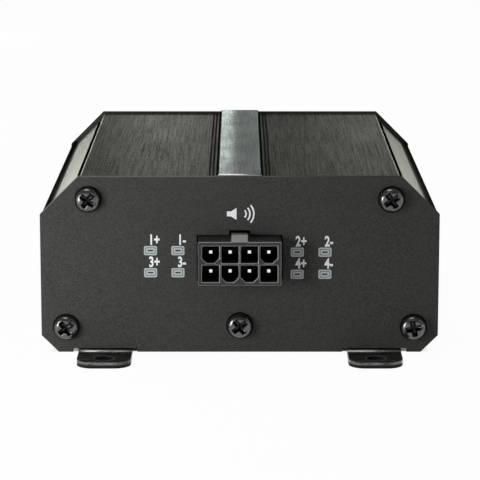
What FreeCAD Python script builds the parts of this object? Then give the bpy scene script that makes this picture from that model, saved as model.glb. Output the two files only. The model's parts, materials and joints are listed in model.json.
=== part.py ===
"""Compact four-channel car amplifier: an extruded heatsink shell closed by two end plates and a base.

Frame: millimetres, +Z up, X across the width, Y along the extrusion.  The speaker-output end faces -Y
and the input end +Y.  The origin is at the middle of the footprint, on the underside of the mounting tabs.

Heights called "rise" are measured from the bottom edge of the end plates.  Pieces at an end are drawn in
that end's own frame: x to the right as seen from outside, y inwards from the plate's outer face, z up.
"""
import FreeCAD, Part

import os
import re

import Sketcher

SIZES = {
    # whole housing
    "plate_span": 100.0,          # over the outer faces of the two end plates
    "plate_width": 87.1,
    "plate_height": 39.1,
    "shoulder_cut": 8.35,         # 45 degree corner at the top of the end plates
    "heel_cut": 3.75,             # 45 degree corner at their bottom
    "plate_thickness": 1.5,
    "plate_lip": 0.4,             # how far the plates stand proud of the shell's top and sides
    # heatsink shell
    "shell_wall": 2.4,
    "panel_recess": 0.97,         # shoulder panel below the plates' 45 degree edge
    "panel_wall": 2.1,
    "ridge_width": 0.65,          # ridge along the outer edge of the shoulder panel
    "ridge_recess": 0.15,         # top of the ridge below the plates' 45 degree edge
    "top_edge_bevel": 0.3,
    "ledge_width": 1.4,           # ledge between the top face and the shoulder panel
    "leg_width": 8.0,
    "leg_thickness": 2.6,
    "boss_radius": 2.9,           # extruded bosses that take the plate screws
    "slot_rib": 1.2,              # thickness of the ribs that hold the board
    "slot_depth": 2.2,
    "heat_rib_inset": 21.55,      # middle of the rib from the side of the end plates
    "heat_rib_web": 4.6,
    "heat_rib_foot": 16.0,
    "heat_rib_foot_thickness": 2.5,
    "heat_rib_output_setback": 20.0,
    "heat_rib_input_setback": 26.0,
    # strip let into the top
    "strip_width": 9.6,
    "strip_proud": 0.6,           # above the top edge of the end plates
    "strip_edge_bevel": 0.25,
    "channel_depth": 0.8,
    "strip_side_gap": 0.15,
    "strip_end_gap": 0.15,        # between the strip and the end plates
    "groove_offset": 1.0,         # first fine groove from the strip's edge
    "groove_pitch": 0.8,
    "groove_width": 0.4,
    "groove_depth": 0.4,
    # base with its mounting tabs
    "sheet_thickness": 1.4,
    "base_side_gap": 0.2,
    "base_end_gap": 0.1,
    "tab_inset": 13.95,           # middle of a tab from the side of the end plates
    "tab_width": 11.8,
    "tab_reach": 9.4,             # beyond the end plate
    "tab_corner_radius": 3.6,
    "tab_hole_reach": 5.9,
    "tab_hole_diameter": 4.0,
    "joggle_run": 1.5,            # bend down to the notch, behind the plate
    "joggle_setback": 2.5,        # its low end, inwards of the plate's outer face
    "pass_rise": 0.45,            # top of the sheet in the notch
    "step_run": 0.5,              # bend down to the tab, under the plate's outer face
    "step_reach": 0.35,           # its low end, beyond the plate's outer face
    "step_bend_radius": 0.3,
    "bend_radius": 0.5,           # inside radius of every bend in the sheet
    "relief_width": 0.7,
    "relief_depth": 3.2,
    "notch_clearance": 1.15,      # each side of a tab, in the end plate
    "notch_height": 0.85,
    "lug_width": 10.0,
    "lug_height": 9.2,
    # screws
    "screw_shank_diameter": 2.9,
    "screw_head_diameter": 5.4,
    "screw_head_height": 2.0,
    "plate_screw_length": 8.0,
    "board_screw_length": 10.0,
    "base_screw_length": 5.0,
    "base_head_height": 1.2,      # low heads, clear of what the tabs stand on
    "thread_gap": 0.05,           # shank to tapped bore
    "bore_runout": 0.5,           # tapped bore beyond the screw's end
    "screw_hole_gap": 0.25,       # shank to plain hole
    "top_screw_inset": 10.55,     # from the side of the end plate
    "top_screw_drop": 5.0,        # from its top edge
    "low_screw_inset": 5.45,
    "low_screw_rise": 5.65,
    "lug_screw_rise": 6.0,
    "base_screw_inset": 8.75,
    "base_screw_setback": 20.0,   # from the outer faces of the end plates
    # multi-way headers
    "pitch": 4.2,
    "cavity_size": 3.75,
    "cavity_key_cut": 1.05,
    "cavity_drop": 0.1,
    "cavity_depth": 10.4,
    "housing_height": 9.6,
    "housing_length": 12.8,
    "housing_side_wall": 0.825,
    "header_reach": 6.1,          # mouth, outwards of the plate
    "header_rise": 21.05,
    "header_gap": 0.35,           # round the housing in the plate's cut-out
    "latch_width": 3.6,
    "latch_height": 1.0,
    "latch_crest": 3.2,           # behind the mouth
    "latch_end": 5.4,
    "latch_gap": 0.45,
    "pin_size": 1.07,
    "pin_tip_recess": 3.15,
    "pin_tip_bevel": 0.2,
    "pin_tail_back": 1.5,         # lower row's tail, behind the housing
    "pin_tail_pitch": 5.5,
    "pin_tail_length": 1.0,       # below the board
    "pin_hole_gap": 0.2,          # round every pin where it passes the board
    "output_columns": 4,
    "input_columns": 5,
    "power_columns": 2,
    # board
    "board_thickness": 1.6,
    "board_slot_gap": 0.1,
    "board_side_gap": 0.25,
    "board_end_gap": 0.4,
    # gain controls
    "shaft_above_board": 6.5,
    "knob_diameter": 8.0,
    "knob_reach": 3.0,
    "knob_inner_end": 4.5,
    "knob_bevel": 0.4,
    "knob_flutes": 8,
    "flute_width": 0.85,          # half the width of the wedge that cuts a flute, just outside the knob
    "flute_depth": 0.45,
    "knob_slot_width": 0.9,
    "knob_slot_length": 5.4,
    "knob_slot_depth": 0.8,
    "knob_hole_gap": 0.4,
    "shaft_diameter": 4.0,
    "shaft_flat": 0.7,
    "shaft_reach": 1.0,           # outwards of the plate
    "shaft_knob_gap": 0.05,
    "shaft_running_gap": 0.05,
    "shaft_depth": 5.0,           # inside the potentiometer
    "pot_front": 6.0,
    "pot_length": 6.5,
    "pot_width": 9.6,
    "pot_height": 11.2,
    "pot_collar_diameter": 7.0,
    "pot_collar_length": 1.0,
    "pot_pin_pitch": 2.5,
    "pot_pin_size": 0.8,
    "pot_pin_length": 3.0,
    # crossover switch
    "switch_width": 10.4,
    "switch_height": 4.8,
    "switch_length": 4.4,
    "switch_front": 2.3,
    "switch_wall": 0.6,
    "slider_base_width": 4.4,
    "slider_base_length": 1.8,
    "slider_width": 2.0,
    "slider_height": 2.0,
    "slider_reach": 1.2,
    "slider_travel": 2.0,         # to each side of the middle position
    "slider_gap": 0.35,
    # status lamp
    "led_above_board": 3.4,
    "led_diameter": 3.0,
    "led_reach": 0.9,
    "led_bevel": 0.6,
    "led_flange_diameter": 3.8,
    "led_flange_front": 2.9,
    "led_flange_thickness": 1.0,
    "led_hole_gap": 0.2,
    "led_lead_size": 0.5,
    "led_lead_pitch": 1.27,
    "holder_width": 5.0,
    "holder_length": 5.0,
    "holder_height": 6.2,
    "holder_front": 2.3,
    "holder_seat_gap": 0.05,      # round the lamp's flange and leads
    # parts on the board
    "chip_x_length": 15.9,
    "chip_y_length": 11.0,
    "chip_height": 3.2,
    "chip_first_y": -13.5,
    "chip_pitch": 20.5,
    "chip_standoff": 0.15,
    "lead_count": 7,
    "lead_pitch": 2.1,
    "lead_width": 0.7,
    "lead_reach": 1.6,
    "lead_thickness": 0.3,
    "thermal_pad_thickness": 0.4,
    "inductor_size": 10.0,
    "inductor_height": 8.0,
    "inductor_corner": 1.8,
    "inductor_inset": 14.05,      # outermost inductor from the side of the end plates
    "inductor_pitch": 11.5,
    "part_gap": 1.6,              # between neighbouring rows of parts
    "film_length": 7.2,
    "film_width": 3.5,
    "film_height": 7.0,
    "film_bevel": 0.4,
    "can_diameter": 12.5,
    "can_head_gap": 3.05,         # under the shell's top
    "can_inset": 20.05,
    "can_pitch": 14.0,
    "choke_inset": 19.05,
    "core_outer_diameter": 17.0,
    "core_inner_diameter": 10.0,
    "core_height": 6.0,
    "wire_diameter": 1.1,
    "winding_gap": 0.1,
    "winding_turns": 10,
    "processor_inset": 40.55,
    "processor_size": 10.0,
    "processor_height": 1.4,
    "processor_corner": 0.5,
}

doc = FreeCAD.newDocument("car_amplifier")
sheet = doc.addObject("Spreadsheet::Sheet", "Sizes")
for row, (alias, value) in enumerate(SIZES.items(), start=1):
    sheet.set(f"A{row}", alias)
    sheet.set(f"B{row}", str(value))
    sheet.setAlias(f"B{row}", alias)
doc.recompute()

# Sizes worked out from the driving ones, as formulas.
HALF_SPAN = "(plate_span / 2)"
SHELL_LENGTH = "(plate_span - 2 * plate_thickness)"
SHELL_TOP = "(plate_height - plate_lip)"
SHELL_SIDE = "(plate_width / 2 - plate_lip)"
SHELL_INNER_SIDE = f"({SHELL_SIDE} - shell_wall)"
BASE_UNDERSIDE = "plate_lip"
BASE_TOP = "(plate_lip + sheet_thickness)"
LEG_TOP = f"({BASE_TOP} + leg_thickness)"
CHANNEL_FLOOR = f"({SHELL_TOP} - channel_depth)"
STRIP_TOP = "(plate_height + strip_proud)"
BOARD_TOP = "(header_rise - housing_height / 2)"
BOARD_UNDERSIDE = f"({BOARD_TOP} - board_thickness)"
BOARD_HALF_WIDTH = f"({SHELL_INNER_SIDE} - board_side_gap)"
BOARD_HALF_LENGTH = f"({HALF_SPAN} - plate_thickness - board_end_gap)"
HEAT_RIB_UNDERSIDE = f"({BOARD_TOP} + chip_standoff + chip_height + thermal_pad_thickness)"
TAPPED_BORE = "(screw_shank_diameter / 2 + thread_gap)"
PLAIN_HOLE = "(screw_shank_diameter / 2 + screw_hole_gap)"
HEAT_RIB_X = "(heat_rib_inset - plate_width / 2)"
TAB_X = "(plate_width / 2 - tab_inset)"
TOP_SCREW = ("(plate_width / 2 - top_screw_inset)", "(plate_height - top_screw_drop)")
LOW_SCREW = ("(plate_width / 2 - low_screw_inset)", "low_screw_rise")
BASE_SCREW = ("(plate_width / 2 - base_screw_inset)", f"({HALF_SPAN} - base_screw_setback)")
PIN_TAIL = "(-header_reach + housing_length + pin_tail_back)"
# Rows of parts on the board follow each other from the output header's pins to the middle.
INDUCTOR_Y = f"({PIN_TAIL} + pin_tail_pitch + pin_size / 2 + part_gap + inductor_size / 2 - {HALF_SPAN})"
FILM_Y = f"({INDUCTOR_Y} + inductor_pitch + inductor_size / 2 + part_gap + film_width / 2)"
CAN_Y = f"({FILM_Y} + film_width / 2 + part_gap + can_diameter / 2)"
CAN_HEIGHT = f"({SHELL_TOP} - shell_wall - {BOARD_TOP} - can_head_gap)"
WOUND_RADIUS = "(core_outer_diameter / 2 + winding_gap + wire_diameter)"
CHOKE_Y = f"({CAN_Y} + can_diameter / 2 + part_gap + {WOUND_RADIUS})"
GAIN_RISE = f"({BOARD_TOP} + shaft_above_board)"
SWITCH_RISE = f"({BOARD_TOP} + switch_height / 2)"
LED_RISE = f"({BOARD_TOP} + led_above_board)"


def housing_width(columns):
    return f"(({columns} - 1) * pitch + cavity_size + 2 * housing_side_wall)"


# Controls and headers stand side by side at the input end, from left to right, with equal gaps.
INPUT_END = (
    ("switch", "switch_width"),
    ("front_gain", "pot_width"),
    ("rear_gain", "pot_width"),
    ("input_header", housing_width("input_columns")),
    ("lamp", "holder_width"),
    ("power_header", housing_width("power_columns")),
)
BETWEEN_SLOTS = f"({SHELL_INNER_SIDE} - slot_depth)"
INPUT_GAP = f"((2 * {BETWEEN_SLOTS} - {' - '.join(width for _, width in INPUT_END)}) / {len(INPUT_END) + 1})"


def input_end_x(name):
    """Middle of one of the things at the input end, in that end's frame."""
    position = f"(-{BETWEEN_SLOTS}"
    for other, width in INPUT_END:
        if other == name:
            return f"{position} + {INPUT_GAP} + {width} / 2)"
        position += f" + {INPUT_GAP} + {width}"
    raise KeyError(name)


FRONT_GAIN_X = input_end_x("front_gain")
REAR_GAIN_X = input_end_x("rear_gain")
SWITCH_X = input_end_x("switch")
LAMP_X = input_end_x("lamp")
INPUT_HEADER_X = input_end_x("input_header")
POWER_HEADER_X = input_end_x("power_header")


# ---------------------------------------------------------------- drawing helpers

def sized(formula):
    """The formula with each size's name turned into a reference to its cell."""
    return re.sub(r"[a-z_]+", lambda word: "Sizes." + word[0] if word[0] in SIZES else word[0], str(formula))


def value_of(formula):
    """The formula's present value as a plain number."""
    return float(sheet.evalExpression(sized(formula)))


def bind(thing, **formulas):
    """Bind properties of a document object to formulas, such as Length="plate_thickness"."""
    for name, formula in formulas.items():
        thing.setExpression(name.replace("__", "."), sized(formula))


def place(thing, x="0", y="0", rise="0"):
    """Put an object at x, y and a height above the end plates' bottom edge."""
    bind(thing, Placement__Base__x=x, Placement__Base__y=y, Placement__Base__z=f"sheet_thickness + {rise}")


def place_at_end(thing, end, x="0", rise="0"):
    """Put an object drawn in an end's own frame at that end of the housing."""
    if end == "input":
        thing.Placement = FreeCAD.Placement(FreeCAD.Vector(), FreeCAD.Rotation(FreeCAD.Vector(0, 0, 1), 180))
        place(thing, x=f"-({x})", y=HALF_SPAN, rise=rise)
    else:
        place(thing, x=x, y=f"-{HALF_SPAN}", rise=rise)


def new_body(label):
    body = doc.addObject("PartDesign::Body", label)
    body.Label = label
    return body


def new_sketch(body, role="XZ_Plane", offset=None):
    """An empty sketch on one of the body's own planes, moved along the plane's normal by offset."""
    sketch = body.newObject("Sketcher::SketchObject", body.Label + "_sketch")
    plane = next(part for part in body.Origin.OriginFeatures if part.Role == role)
    sketch.AttachmentSupport = (plane, [""])
    sketch.MapMode = "FlatFace"
    if offset is not None:
        bind(sketch, AttachmentOffset__Base__z=offset)
    return sketch


def constrain(sketch, constraints):
    """Add constraints in one go; each comes with its formula, or None where it has no size."""
    first = sketch.ConstraintCount
    sketch.addConstraint([constraint for constraint, _ in constraints])
    for number, (_, formula) in enumerate(constraints, start=first):
        if formula is not None:
            sketch.setExpression(f"Constraints[{number}]", sized(formula))


def fixed_point(geometry, point, x, y):
    """Constraints that tie one point of a sketch to two formulas, measured from the sketch's origin."""
    return [
        (Sketcher.Constraint("DistanceX", geometry, point, value_of(x)), x),
        (Sketcher.Constraint("DistanceY", geometry, point, value_of(y)), y),
    ]


def draw_polygon(sketch, points):
    """A closed polygon whose corners are pairs of formulas."""
    corners = [FreeCAD.Vector(value_of(x), value_of(y), 0) for x, y in points]
    count = len(points)
    first = sketch.GeometryCount
    sketch.addGeometry([Part.LineSegment(corners[n], corners[(n + 1) % count]) for n in range(count)], False)
    constraints = []
    for number, (x, y) in enumerate(points):
        following = first + (number + 1) % count
        constraints.append((Sketcher.Constraint("Coincident", first + number, 2, following, 1), None))
        constraints += fixed_point(first + number, 1, x, y)
    constrain(sketch, constraints)


def draw_rectangle(sketch, x0, x1, y0, y1):
    draw_polygon(sketch, [(x0, y0), (x1, y0), (x1, y1), (x0, y1)])


def draw_circle(sketch, x, y, radius):
    centre = FreeCAD.Vector(value_of(x), value_of(y), 0)
    number = sketch.addGeometry(Part.Circle(centre, FreeCAD.Vector(0, 0, 1), value_of(radius)), False)
    size = (Sketcher.Constraint("Radius", number, value_of(radius)), radius)
    constrain(sketch, fixed_point(number, 3, x, y) + [size])


def extrude(kind, sketch, length, side="One side", backwards=False):
    """Pad or pocket a sketch.  A pocket has to take something away, and a pad has to add something."""
    body = sketch.getParentGeoFeatureGroup()
    doc.recompute()
    before = body.Shape.Volume if body.Tip and not body.Shape.isNull() else 0.0
    feature = body.newObject("PartDesign::" + kind, body.Label + "_" + kind.lower())
    feature.Profile = sketch
    feature.SideType = side
    feature.Reversed = backwards
    bind(feature, Length=length)
    doc.recompute()
    change = body.Shape.Volume - before
    if change * (1 if kind == "Pad" else -1) <= 0:
        raise RuntimeError(f"{feature.Name} changes the volume by {change:.3f}")
    return feature


def pad(sketch, length, **options):
    return extrude("Pad", sketch, length, **options)


def pocket(sketch, length, **options):
    return extrude("Pocket", sketch, length, **options)


def edges_where(feature, test):
    """Names of the feature's edges whose middle point and direction pass the test."""
    names = []
    for number, edge in enumerate(feature.Shape.Edges, start=1):
        middle = edge.valueAt((edge.FirstParameter + edge.LastParameter) / 2)
        if test(edge, middle):
            names.append(f"Edge{number}")
    return names


def dress(kind, feature, edges, size):
    """Fillet or chamfer named edges of a feature."""
    body = feature.getParentGeoFeatureGroup()
    dressed = body.newObject("PartDesign::" + kind, body.Label + "_" + kind.lower())
    dressed.Base = (feature, edges)
    bind(dressed, **{"Radius" if kind == "Fillet" else "Size": size})
    doc.recompute()
    return dressed


def runs_along(edge, axis):
    """Whether an edge is straight and parallel to the axis."""
    if edge.Curve.TypeId != "Part::GeomLine":
        return False
    return abs(edge.tangentAt(edge.FirstParameter).dot(axis)) > 0.999


def near(number, formula):
    return abs(number - value_of(formula)) < 0.01


def group(label, pattern, places, turn=None):
    """One node of several separate solids: copies of the pattern body, each at its own formulas."""
    copies = []
    for number, (x, y, z) in enumerate(places, start=1):
        copy = doc.addObject("App::Link", f"{label}_{number}")
        copy.LinkedObject = pattern
        if turn is not None:
            copy.Placement = FreeCAD.Placement(FreeCAD.Vector(), turn)
        bind(copy, Placement__Base__x=x, Placement__Base__y=y, Placement__Base__z=z)
        copies.append(copy)
    compound = doc.addObject("Part::Compound", label)
    compound.Label = label
    compound.Links = copies
    return compound


X_AXIS = FreeCAD.Vector(1, 0, 0)
Z_AXIS = FreeCAD.Vector(0, 0, 1)


# ---------------------------------------------------------------- heatsink shell and strip

def mirrored(points):
    """A right-hand outline from the middle line round to the middle line, closed by its mirror image."""
    left = [(f"-({x})", z) for x, z in reversed(points) if x != "0"]
    return points + left


def heatsink_shell():
    """Extruded shell: top, recessed shoulder panels, sides, legs, screw bosses, board slots and heat rib."""
    shell = new_body("heatsink_shell")
    panel_line = "(plate_width / 2 - shoulder_cut + plate_height - panel_recess * sqrt(2))"
    ridge_line = "(plate_width / 2 - shoulder_cut + plate_height - ridge_recess * sqrt(2))"
    heel_line = "(plate_width / 2 - heel_cut - plate_lip * sqrt(2))"
    top_edge = "(plate_width / 2 - shoulder_cut - plate_lip * tan(22.5))"
    ledge_end = f"({top_edge} + ledge_width)"
    ledge_rise = f"({panel_line} - {ledge_end})"
    ridge_inner = f"({SHELL_SIDE} - ridge_width)"
    inner_line = f"({panel_line} - panel_wall * sqrt(2))"
    inner_top = f"({SHELL_TOP} - shell_wall)"
    leg_inner = f"({SHELL_INNER_SIDE} - leg_width)"
    section = new_sketch(shell)
    draw_polygon(section, mirrored([
        ("0", SHELL_TOP),
        (f"{top_edge} - top_edge_bevel", SHELL_TOP),
        (top_edge, f"{SHELL_TOP} - top_edge_bevel"),
        (top_edge, ledge_rise),
        (ledge_end, ledge_rise),
        (ridge_inner, f"{panel_line} - {ridge_inner}"),
        (ridge_inner, f"{ridge_line} - {ridge_inner}"),
        (SHELL_SIDE, f"{ridge_line} - {SHELL_SIDE}"),
        (SHELL_SIDE, f"{SHELL_SIDE} - {heel_line}"),
        (f"{heel_line} + {BASE_TOP}", BASE_TOP),
        (leg_inner, BASE_TOP),
        (leg_inner, LEG_TOP),
        (SHELL_INNER_SIDE, LEG_TOP),
        (SHELL_INNER_SIDE, f"{inner_line} - {SHELL_INNER_SIDE}"),
        (f"{inner_line} - {inner_top}", inner_top),
        ("0", inner_top),
    ]))
    pad(section, SHELL_LENGTH, side="Symmetric")

    bosses = new_sketch(shell)
    bores = new_sketch(shell)
    for sign in ("", "-"):
        for x, rise in (TOP_SCREW, LOW_SCREW):
            draw_circle(bosses, sign + x, rise, "boss_radius")
            draw_circle(bores, sign + x, rise, TAPPED_BORE)
    pad(bosses, SHELL_LENGTH, side="Symmetric")
    pocket(bores, SHELL_LENGTH, side="Symmetric")

    slots = new_sketch(shell)
    rib_end = f"({SHELL_INNER_SIDE} - slot_depth)"
    board_slot = (
        (f"{BOARD_TOP} + board_slot_gap", "slot_rib"),
        (f"{BOARD_UNDERSIDE} - board_slot_gap", "-slot_rib"),
    )
    for sign in ("", "-"):
        for rise, thickness in board_slot:
            draw_rectangle(slots, f"{sign}{rib_end}", f"{sign}({SHELL_SIDE} - shell_wall / 2)", rise,
                           f"{rise} + {thickness}")
    pad(slots, SHELL_LENGTH, side="Symmetric")

    rib = new_sketch(shell, offset=f"{HALF_SPAN} - heat_rib_output_setback")
    foot_top = f"({HEAT_RIB_UNDERSIDE} + heat_rib_foot_thickness)"
    web_half = "heat_rib_web / 2"
    foot_half = "heat_rib_foot / 2"
    draw_polygon(rib, [
        (f"{HEAT_RIB_X} - {foot_half}", HEAT_RIB_UNDERSIDE),
        (f"{HEAT_RIB_X} + {foot_half}", HEAT_RIB_UNDERSIDE),
        (f"{HEAT_RIB_X} + {foot_half}", foot_top),
        (f"{HEAT_RIB_X} + {web_half}", foot_top),
        (f"{HEAT_RIB_X} + {web_half}", f"{SHELL_TOP} - shell_wall / 2"),
        (f"{HEAT_RIB_X} - {web_half}", f"{SHELL_TOP} - shell_wall / 2"),
        (f"{HEAT_RIB_X} - {web_half}", foot_top),
        (f"{HEAT_RIB_X} - {foot_half}", foot_top),
    ])
    pad(rib, "plate_span - heat_rib_output_setback - heat_rib_input_setback", backwards=True)

    channel = new_sketch(shell)
    channel_half = "(strip_width / 2 + strip_side_gap)"
    draw_rectangle(channel, f"-{channel_half}", channel_half, CHANNEL_FLOOR, SHELL_TOP)
    for sign in ("", "-"):
        for number in range(2):
            middle = f"(strip_width / 2 + groove_offset + {number} * groove_pitch)"
            draw_polygon(channel, [
                (f"{sign}({middle} - groove_width / 2)", SHELL_TOP),
                (f"{sign}({middle} + groove_width / 2)", SHELL_TOP),
                (f"{sign}{middle}", f"{SHELL_TOP} - groove_depth"),
            ])
    pocket(channel, SHELL_LENGTH, side="Symmetric")

    leg_holes = new_sketch(shell, "XY_Plane", offset=f"{BASE_UNDERSIDE} + base_screw_length")
    for x, y in corner_places(*BASE_SCREW):
        draw_circle(leg_holes, x, y, TAPPED_BORE)
    pocket(leg_holes, "base_screw_length")

    rib_holes = new_sketch(shell, "XY_Plane", offset=HEAT_RIB_UNDERSIDE)
    for x, y in board_screw_places():
        draw_circle(rib_holes, x, y, TAPPED_BORE)
    bore_end = f"({BOARD_UNDERSIDE} + board_screw_length + bore_runout)"
    pocket(rib_holes, f"{bore_end} - {HEAT_RIB_UNDERSIDE}", backwards=True)
    place(shell)
    return shell


def corner_places(x, y):
    """The four corners of a rectangle centred on the housing."""
    return [(f"{x_sign}{x}", f"{y_sign}{y}") for x_sign in ("", "-") for y_sign in ("", "-")]


def board_screw_places():
    """Screws before, between and behind the two chips, under the heat rib."""
    return [(HEAT_RIB_X, f"chip_first_y + {step} * chip_pitch / 2") for step in (-1, 1, 3)]


def trim_strip():
    """Strip in the shell's channel, with a thin lip that lies over the output plate."""
    strip = new_body("trim_strip")
    lip_underside = "(plate_height + strip_end_gap)"
    side_view = new_sketch(strip, "YZ_Plane")
    body_end = f"({HALF_SPAN} - plate_thickness - strip_end_gap)"
    draw_polygon(side_view, [
        (f"-{body_end}", CHANNEL_FLOOR),
        (body_end, CHANNEL_FLOOR),
        (body_end, STRIP_TOP),
        (f"-{HALF_SPAN}", STRIP_TOP),
        (f"-{HALF_SPAN}", lip_underside),
        (f"-{body_end}", lip_underside),
    ])
    bar = pad(side_view, "strip_width", side="Symmetric")
    rim = edges_where(bar, lambda edge, middle: near(middle.z, STRIP_TOP))
    dress("Chamfer", bar, rim, "strip_edge_bevel")
    place(strip)
    return strip


# ---------------------------------------------------------------- end plates

def plate_screw_places():
    """The five screws of an end plate, in the end's frame."""
    places = [("0", "lug_screw_rise")]
    for sign in ("", "-"):
        for x, rise in (TOP_SCREW, LOW_SCREW):
            places.append((f"{sign}{x}", rise))
    return places


def header_cutout(sketch, columns, x="0"):
    """Opening round a header housing, with a notch over its latch ramp."""
    half_width = f"({housing_width(columns)} / 2 + header_gap)"
    top = "(header_rise + housing_height / 2 + header_gap)"
    bottom = "(header_rise - housing_height / 2 - header_gap)"
    notch_half = "(latch_width / 2 + latch_gap)"
    notch_top = "(header_rise + housing_height / 2 + latch_height + latch_gap)"
    draw_polygon(sketch, [
        (f"{x} - {half_width}", bottom),
        (f"{x} + {half_width}", bottom),
        (f"{x} + {half_width}", top),
        (f"{x} + {notch_half}", top),
        (f"{x} + {notch_half}", notch_top),
        (f"{x} - {notch_half}", notch_top),
        (f"{x} - {notch_half}", top),
        (f"{x} - {half_width}", top),
    ])


def end_plate(label, end, draw_openings):
    """Sheet-steel plate with cut corners, five screw holes, the end's openings and two tab notches."""
    plate = new_body(label)
    outline = new_sketch(plate)
    side = "(plate_width / 2)"
    draw_polygon(outline, mirrored([
        ("0", "plate_height"),
        (f"{side} - shoulder_cut", "plate_height"),
        (side, "plate_height - shoulder_cut"),
        (side, "heel_cut"),
        (f"{side} - heel_cut", "0"),
        ("0", "0"),
    ]))
    pad(outline, "plate_thickness", backwards=True)
    openings = new_sketch(plate)
    for x, rise in plate_screw_places():
        draw_circle(openings, x, rise, PLAIN_HOLE)
    draw_openings(openings)
    notch_half = "(tab_width / 2 + notch_clearance)"
    for sign in ("", "-"):
        draw_rectangle(openings, f"{sign}{TAB_X} - {notch_half}", f"{sign}{TAB_X} + {notch_half}", "0",
                       "notch_height")
    pocket(openings, "plate_thickness")
    place_at_end(plate, end)
    return plate


def output_openings(sketch):
    header_cutout(sketch, "output_columns")


def input_openings(sketch):
    header_cutout(sketch, "input_columns", INPUT_HEADER_X)
    header_cutout(sketch, "power_columns", POWER_HEADER_X)
    for x in (FRONT_GAIN_X, REAR_GAIN_X):
        draw_circle(sketch, x, GAIN_RISE, "knob_diameter / 2 + knob_hole_gap")
    slot_half = "(slider_width / 2 + slider_travel + slider_gap)"
    slot_rise = "(slider_height / 2 + slider_gap)"
    draw_rectangle(sketch, f"{SWITCH_X} - {slot_half}", f"{SWITCH_X} + {slot_half}",
                   f"{SWITCH_RISE} - {slot_rise}", f"{SWITCH_RISE} + {slot_rise}")
    draw_circle(sketch, LAMP_X, LED_RISE, "led_diameter / 2 + led_hole_gap")


# ---------------------------------------------------------------- base and screws

def bottom_plate():
    """Base of folded sheet: four stepped tabs with holes, and two lugs that take the middle plate screws."""
    base = new_body("bottom_plate")
    half_width = "(plate_width / 2 - heel_cut - plate_lip - base_side_gap)"
    half_length = f"({HALF_SPAN} - plate_thickness - base_end_gap)"
    flat = new_sketch(base, "XY_Plane", offset=BASE_UNDERSIDE)
    draw_rectangle(flat, f"-{half_width}", half_width, f"-{half_length}", half_length)
    for x, y in corner_places(*BASE_SCREW):
        draw_circle(flat, x, y, PLAIN_HOLE)
    pad(flat, "sheet_thickness")

    reliefs = new_sketch(base, "XY_Plane", offset=BASE_TOP)
    root = f"({half_length} - relief_depth)"
    tab_half = "(tab_width / 2 + relief_width)"
    for end in ("", "-"):
        for side in ("", "-"):
            draw_rectangle(reliefs, f"{side}{TAB_X} - {tab_half}", f"{side}{TAB_X} + {tab_half}",
                           f"{end}{root}", f"{end}{half_length}")
            draw_rectangle(reliefs, f"{side}lug_width / 2", f"{side}(lug_width / 2 + relief_width)",
                           f"{end}{root}", f"{end}{half_length}")
    pocket(reliefs, "sheet_thickness")

    low_bend = f"({HALF_SPAN} - joggle_setback)"
    high_bend = f"({low_bend} - joggle_run)"
    shift = f"(sheet_thickness * tan(atan(({BASE_TOP} - pass_rise) / joggle_run) / 2))"
    step_foot = f"({HALF_SPAN} + step_reach)"
    step_top = f"({step_foot} - step_run)"
    step_shift = "(sheet_thickness * tan(atan(pass_rise / step_run) / 2))"
    tip = f"({HALF_SPAN} + tab_reach)"
    for end in ("", "-"):
        for side in ("", "-"):
            tab = new_sketch(base, "YZ_Plane", offset=f"{side}{TAB_X}")
            draw_polygon(tab, [
                (f"{end}{root}", BASE_UNDERSIDE),
                (f"{end}({high_bend} - {shift})", BASE_UNDERSIDE),
                (f"{end}({low_bend} - {shift})", "pass_rise - sheet_thickness"),
                (f"{end}({step_top} - {step_shift})", "pass_rise - sheet_thickness"),
                (f"{end}({step_foot} - {step_shift})", "-sheet_thickness"),
                (f"{end}{tip}", "-sheet_thickness"),
                (f"{end}{tip}", "0"),
                (f"{end}{step_foot}", "0"),
                (f"{end}{step_top}", "pass_rise"),
                (f"{end}{low_bend}", "pass_rise"),
                (f"{end}{high_bend}", BASE_TOP),
                (f"{end}{root}", BASE_TOP),
            ])
            last = pad(tab, "tab_width", side="Symmetric")

    for end, backwards in (("", False), ("-", True)):
        lug = new_sketch(base, "XZ_Plane", offset=f"{end}({half_length} - sheet_thickness)")
        draw_rectangle(lug, "-lug_width / 2", "lug_width / 2", BASE_UNDERSIDE, "lug_height")
        last = pad(lug, "sheet_thickness", backwards=backwards)

    inner, outer = "bend_radius", "bend_radius + sheet_thickness"
    bends = (
        ("step_bend_radius", step_top, "pass_rise"), ("step_bend_radius", step_foot, "0"),
        (inner, low_bend, "pass_rise"),
        (inner, f"{half_length} - sheet_thickness", BASE_TOP), (outer, half_length, BASE_UNDERSIDE),
    )
    for radius, y, rise in bends:
        lug_bend = y in (half_length, f"{half_length} - sheet_thickness")

        def on_bend(edge, middle):
            """Bends run across the base; those of the lugs lie at the middle and the others at the tabs."""
            at_lug = abs(middle.x) < value_of("lug_width / 2")
            placed = near(abs(middle.y), y) and near(middle.z, rise)
            return runs_along(edge, X_AXIS) and placed and at_lug == lug_bend

        last = dress("Fillet", last, edges_where(last, on_bend), radius)
    corners = edges_where(last, lambda edge, middle: runs_along(edge, Z_AXIS) and near(abs(middle.y), tip))
    dress("Fillet", last, corners, "tab_corner_radius")

    tab_holes = new_sketch(base, "XY_Plane")
    for x, y in corner_places(TAB_X, f"({HALF_SPAN} + tab_hole_reach)"):
        draw_circle(tab_holes, x, y, "tab_hole_diameter / 2")
    pocket(tab_holes, "sheet_thickness")
    lug_holes = new_sketch(base, "XZ_Plane")
    draw_circle(lug_holes, "0", "lug_screw_rise", TAPPED_BORE)
    pocket(lug_holes, "plate_span", side="Symmetric")
    place(base)
    return base


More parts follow.
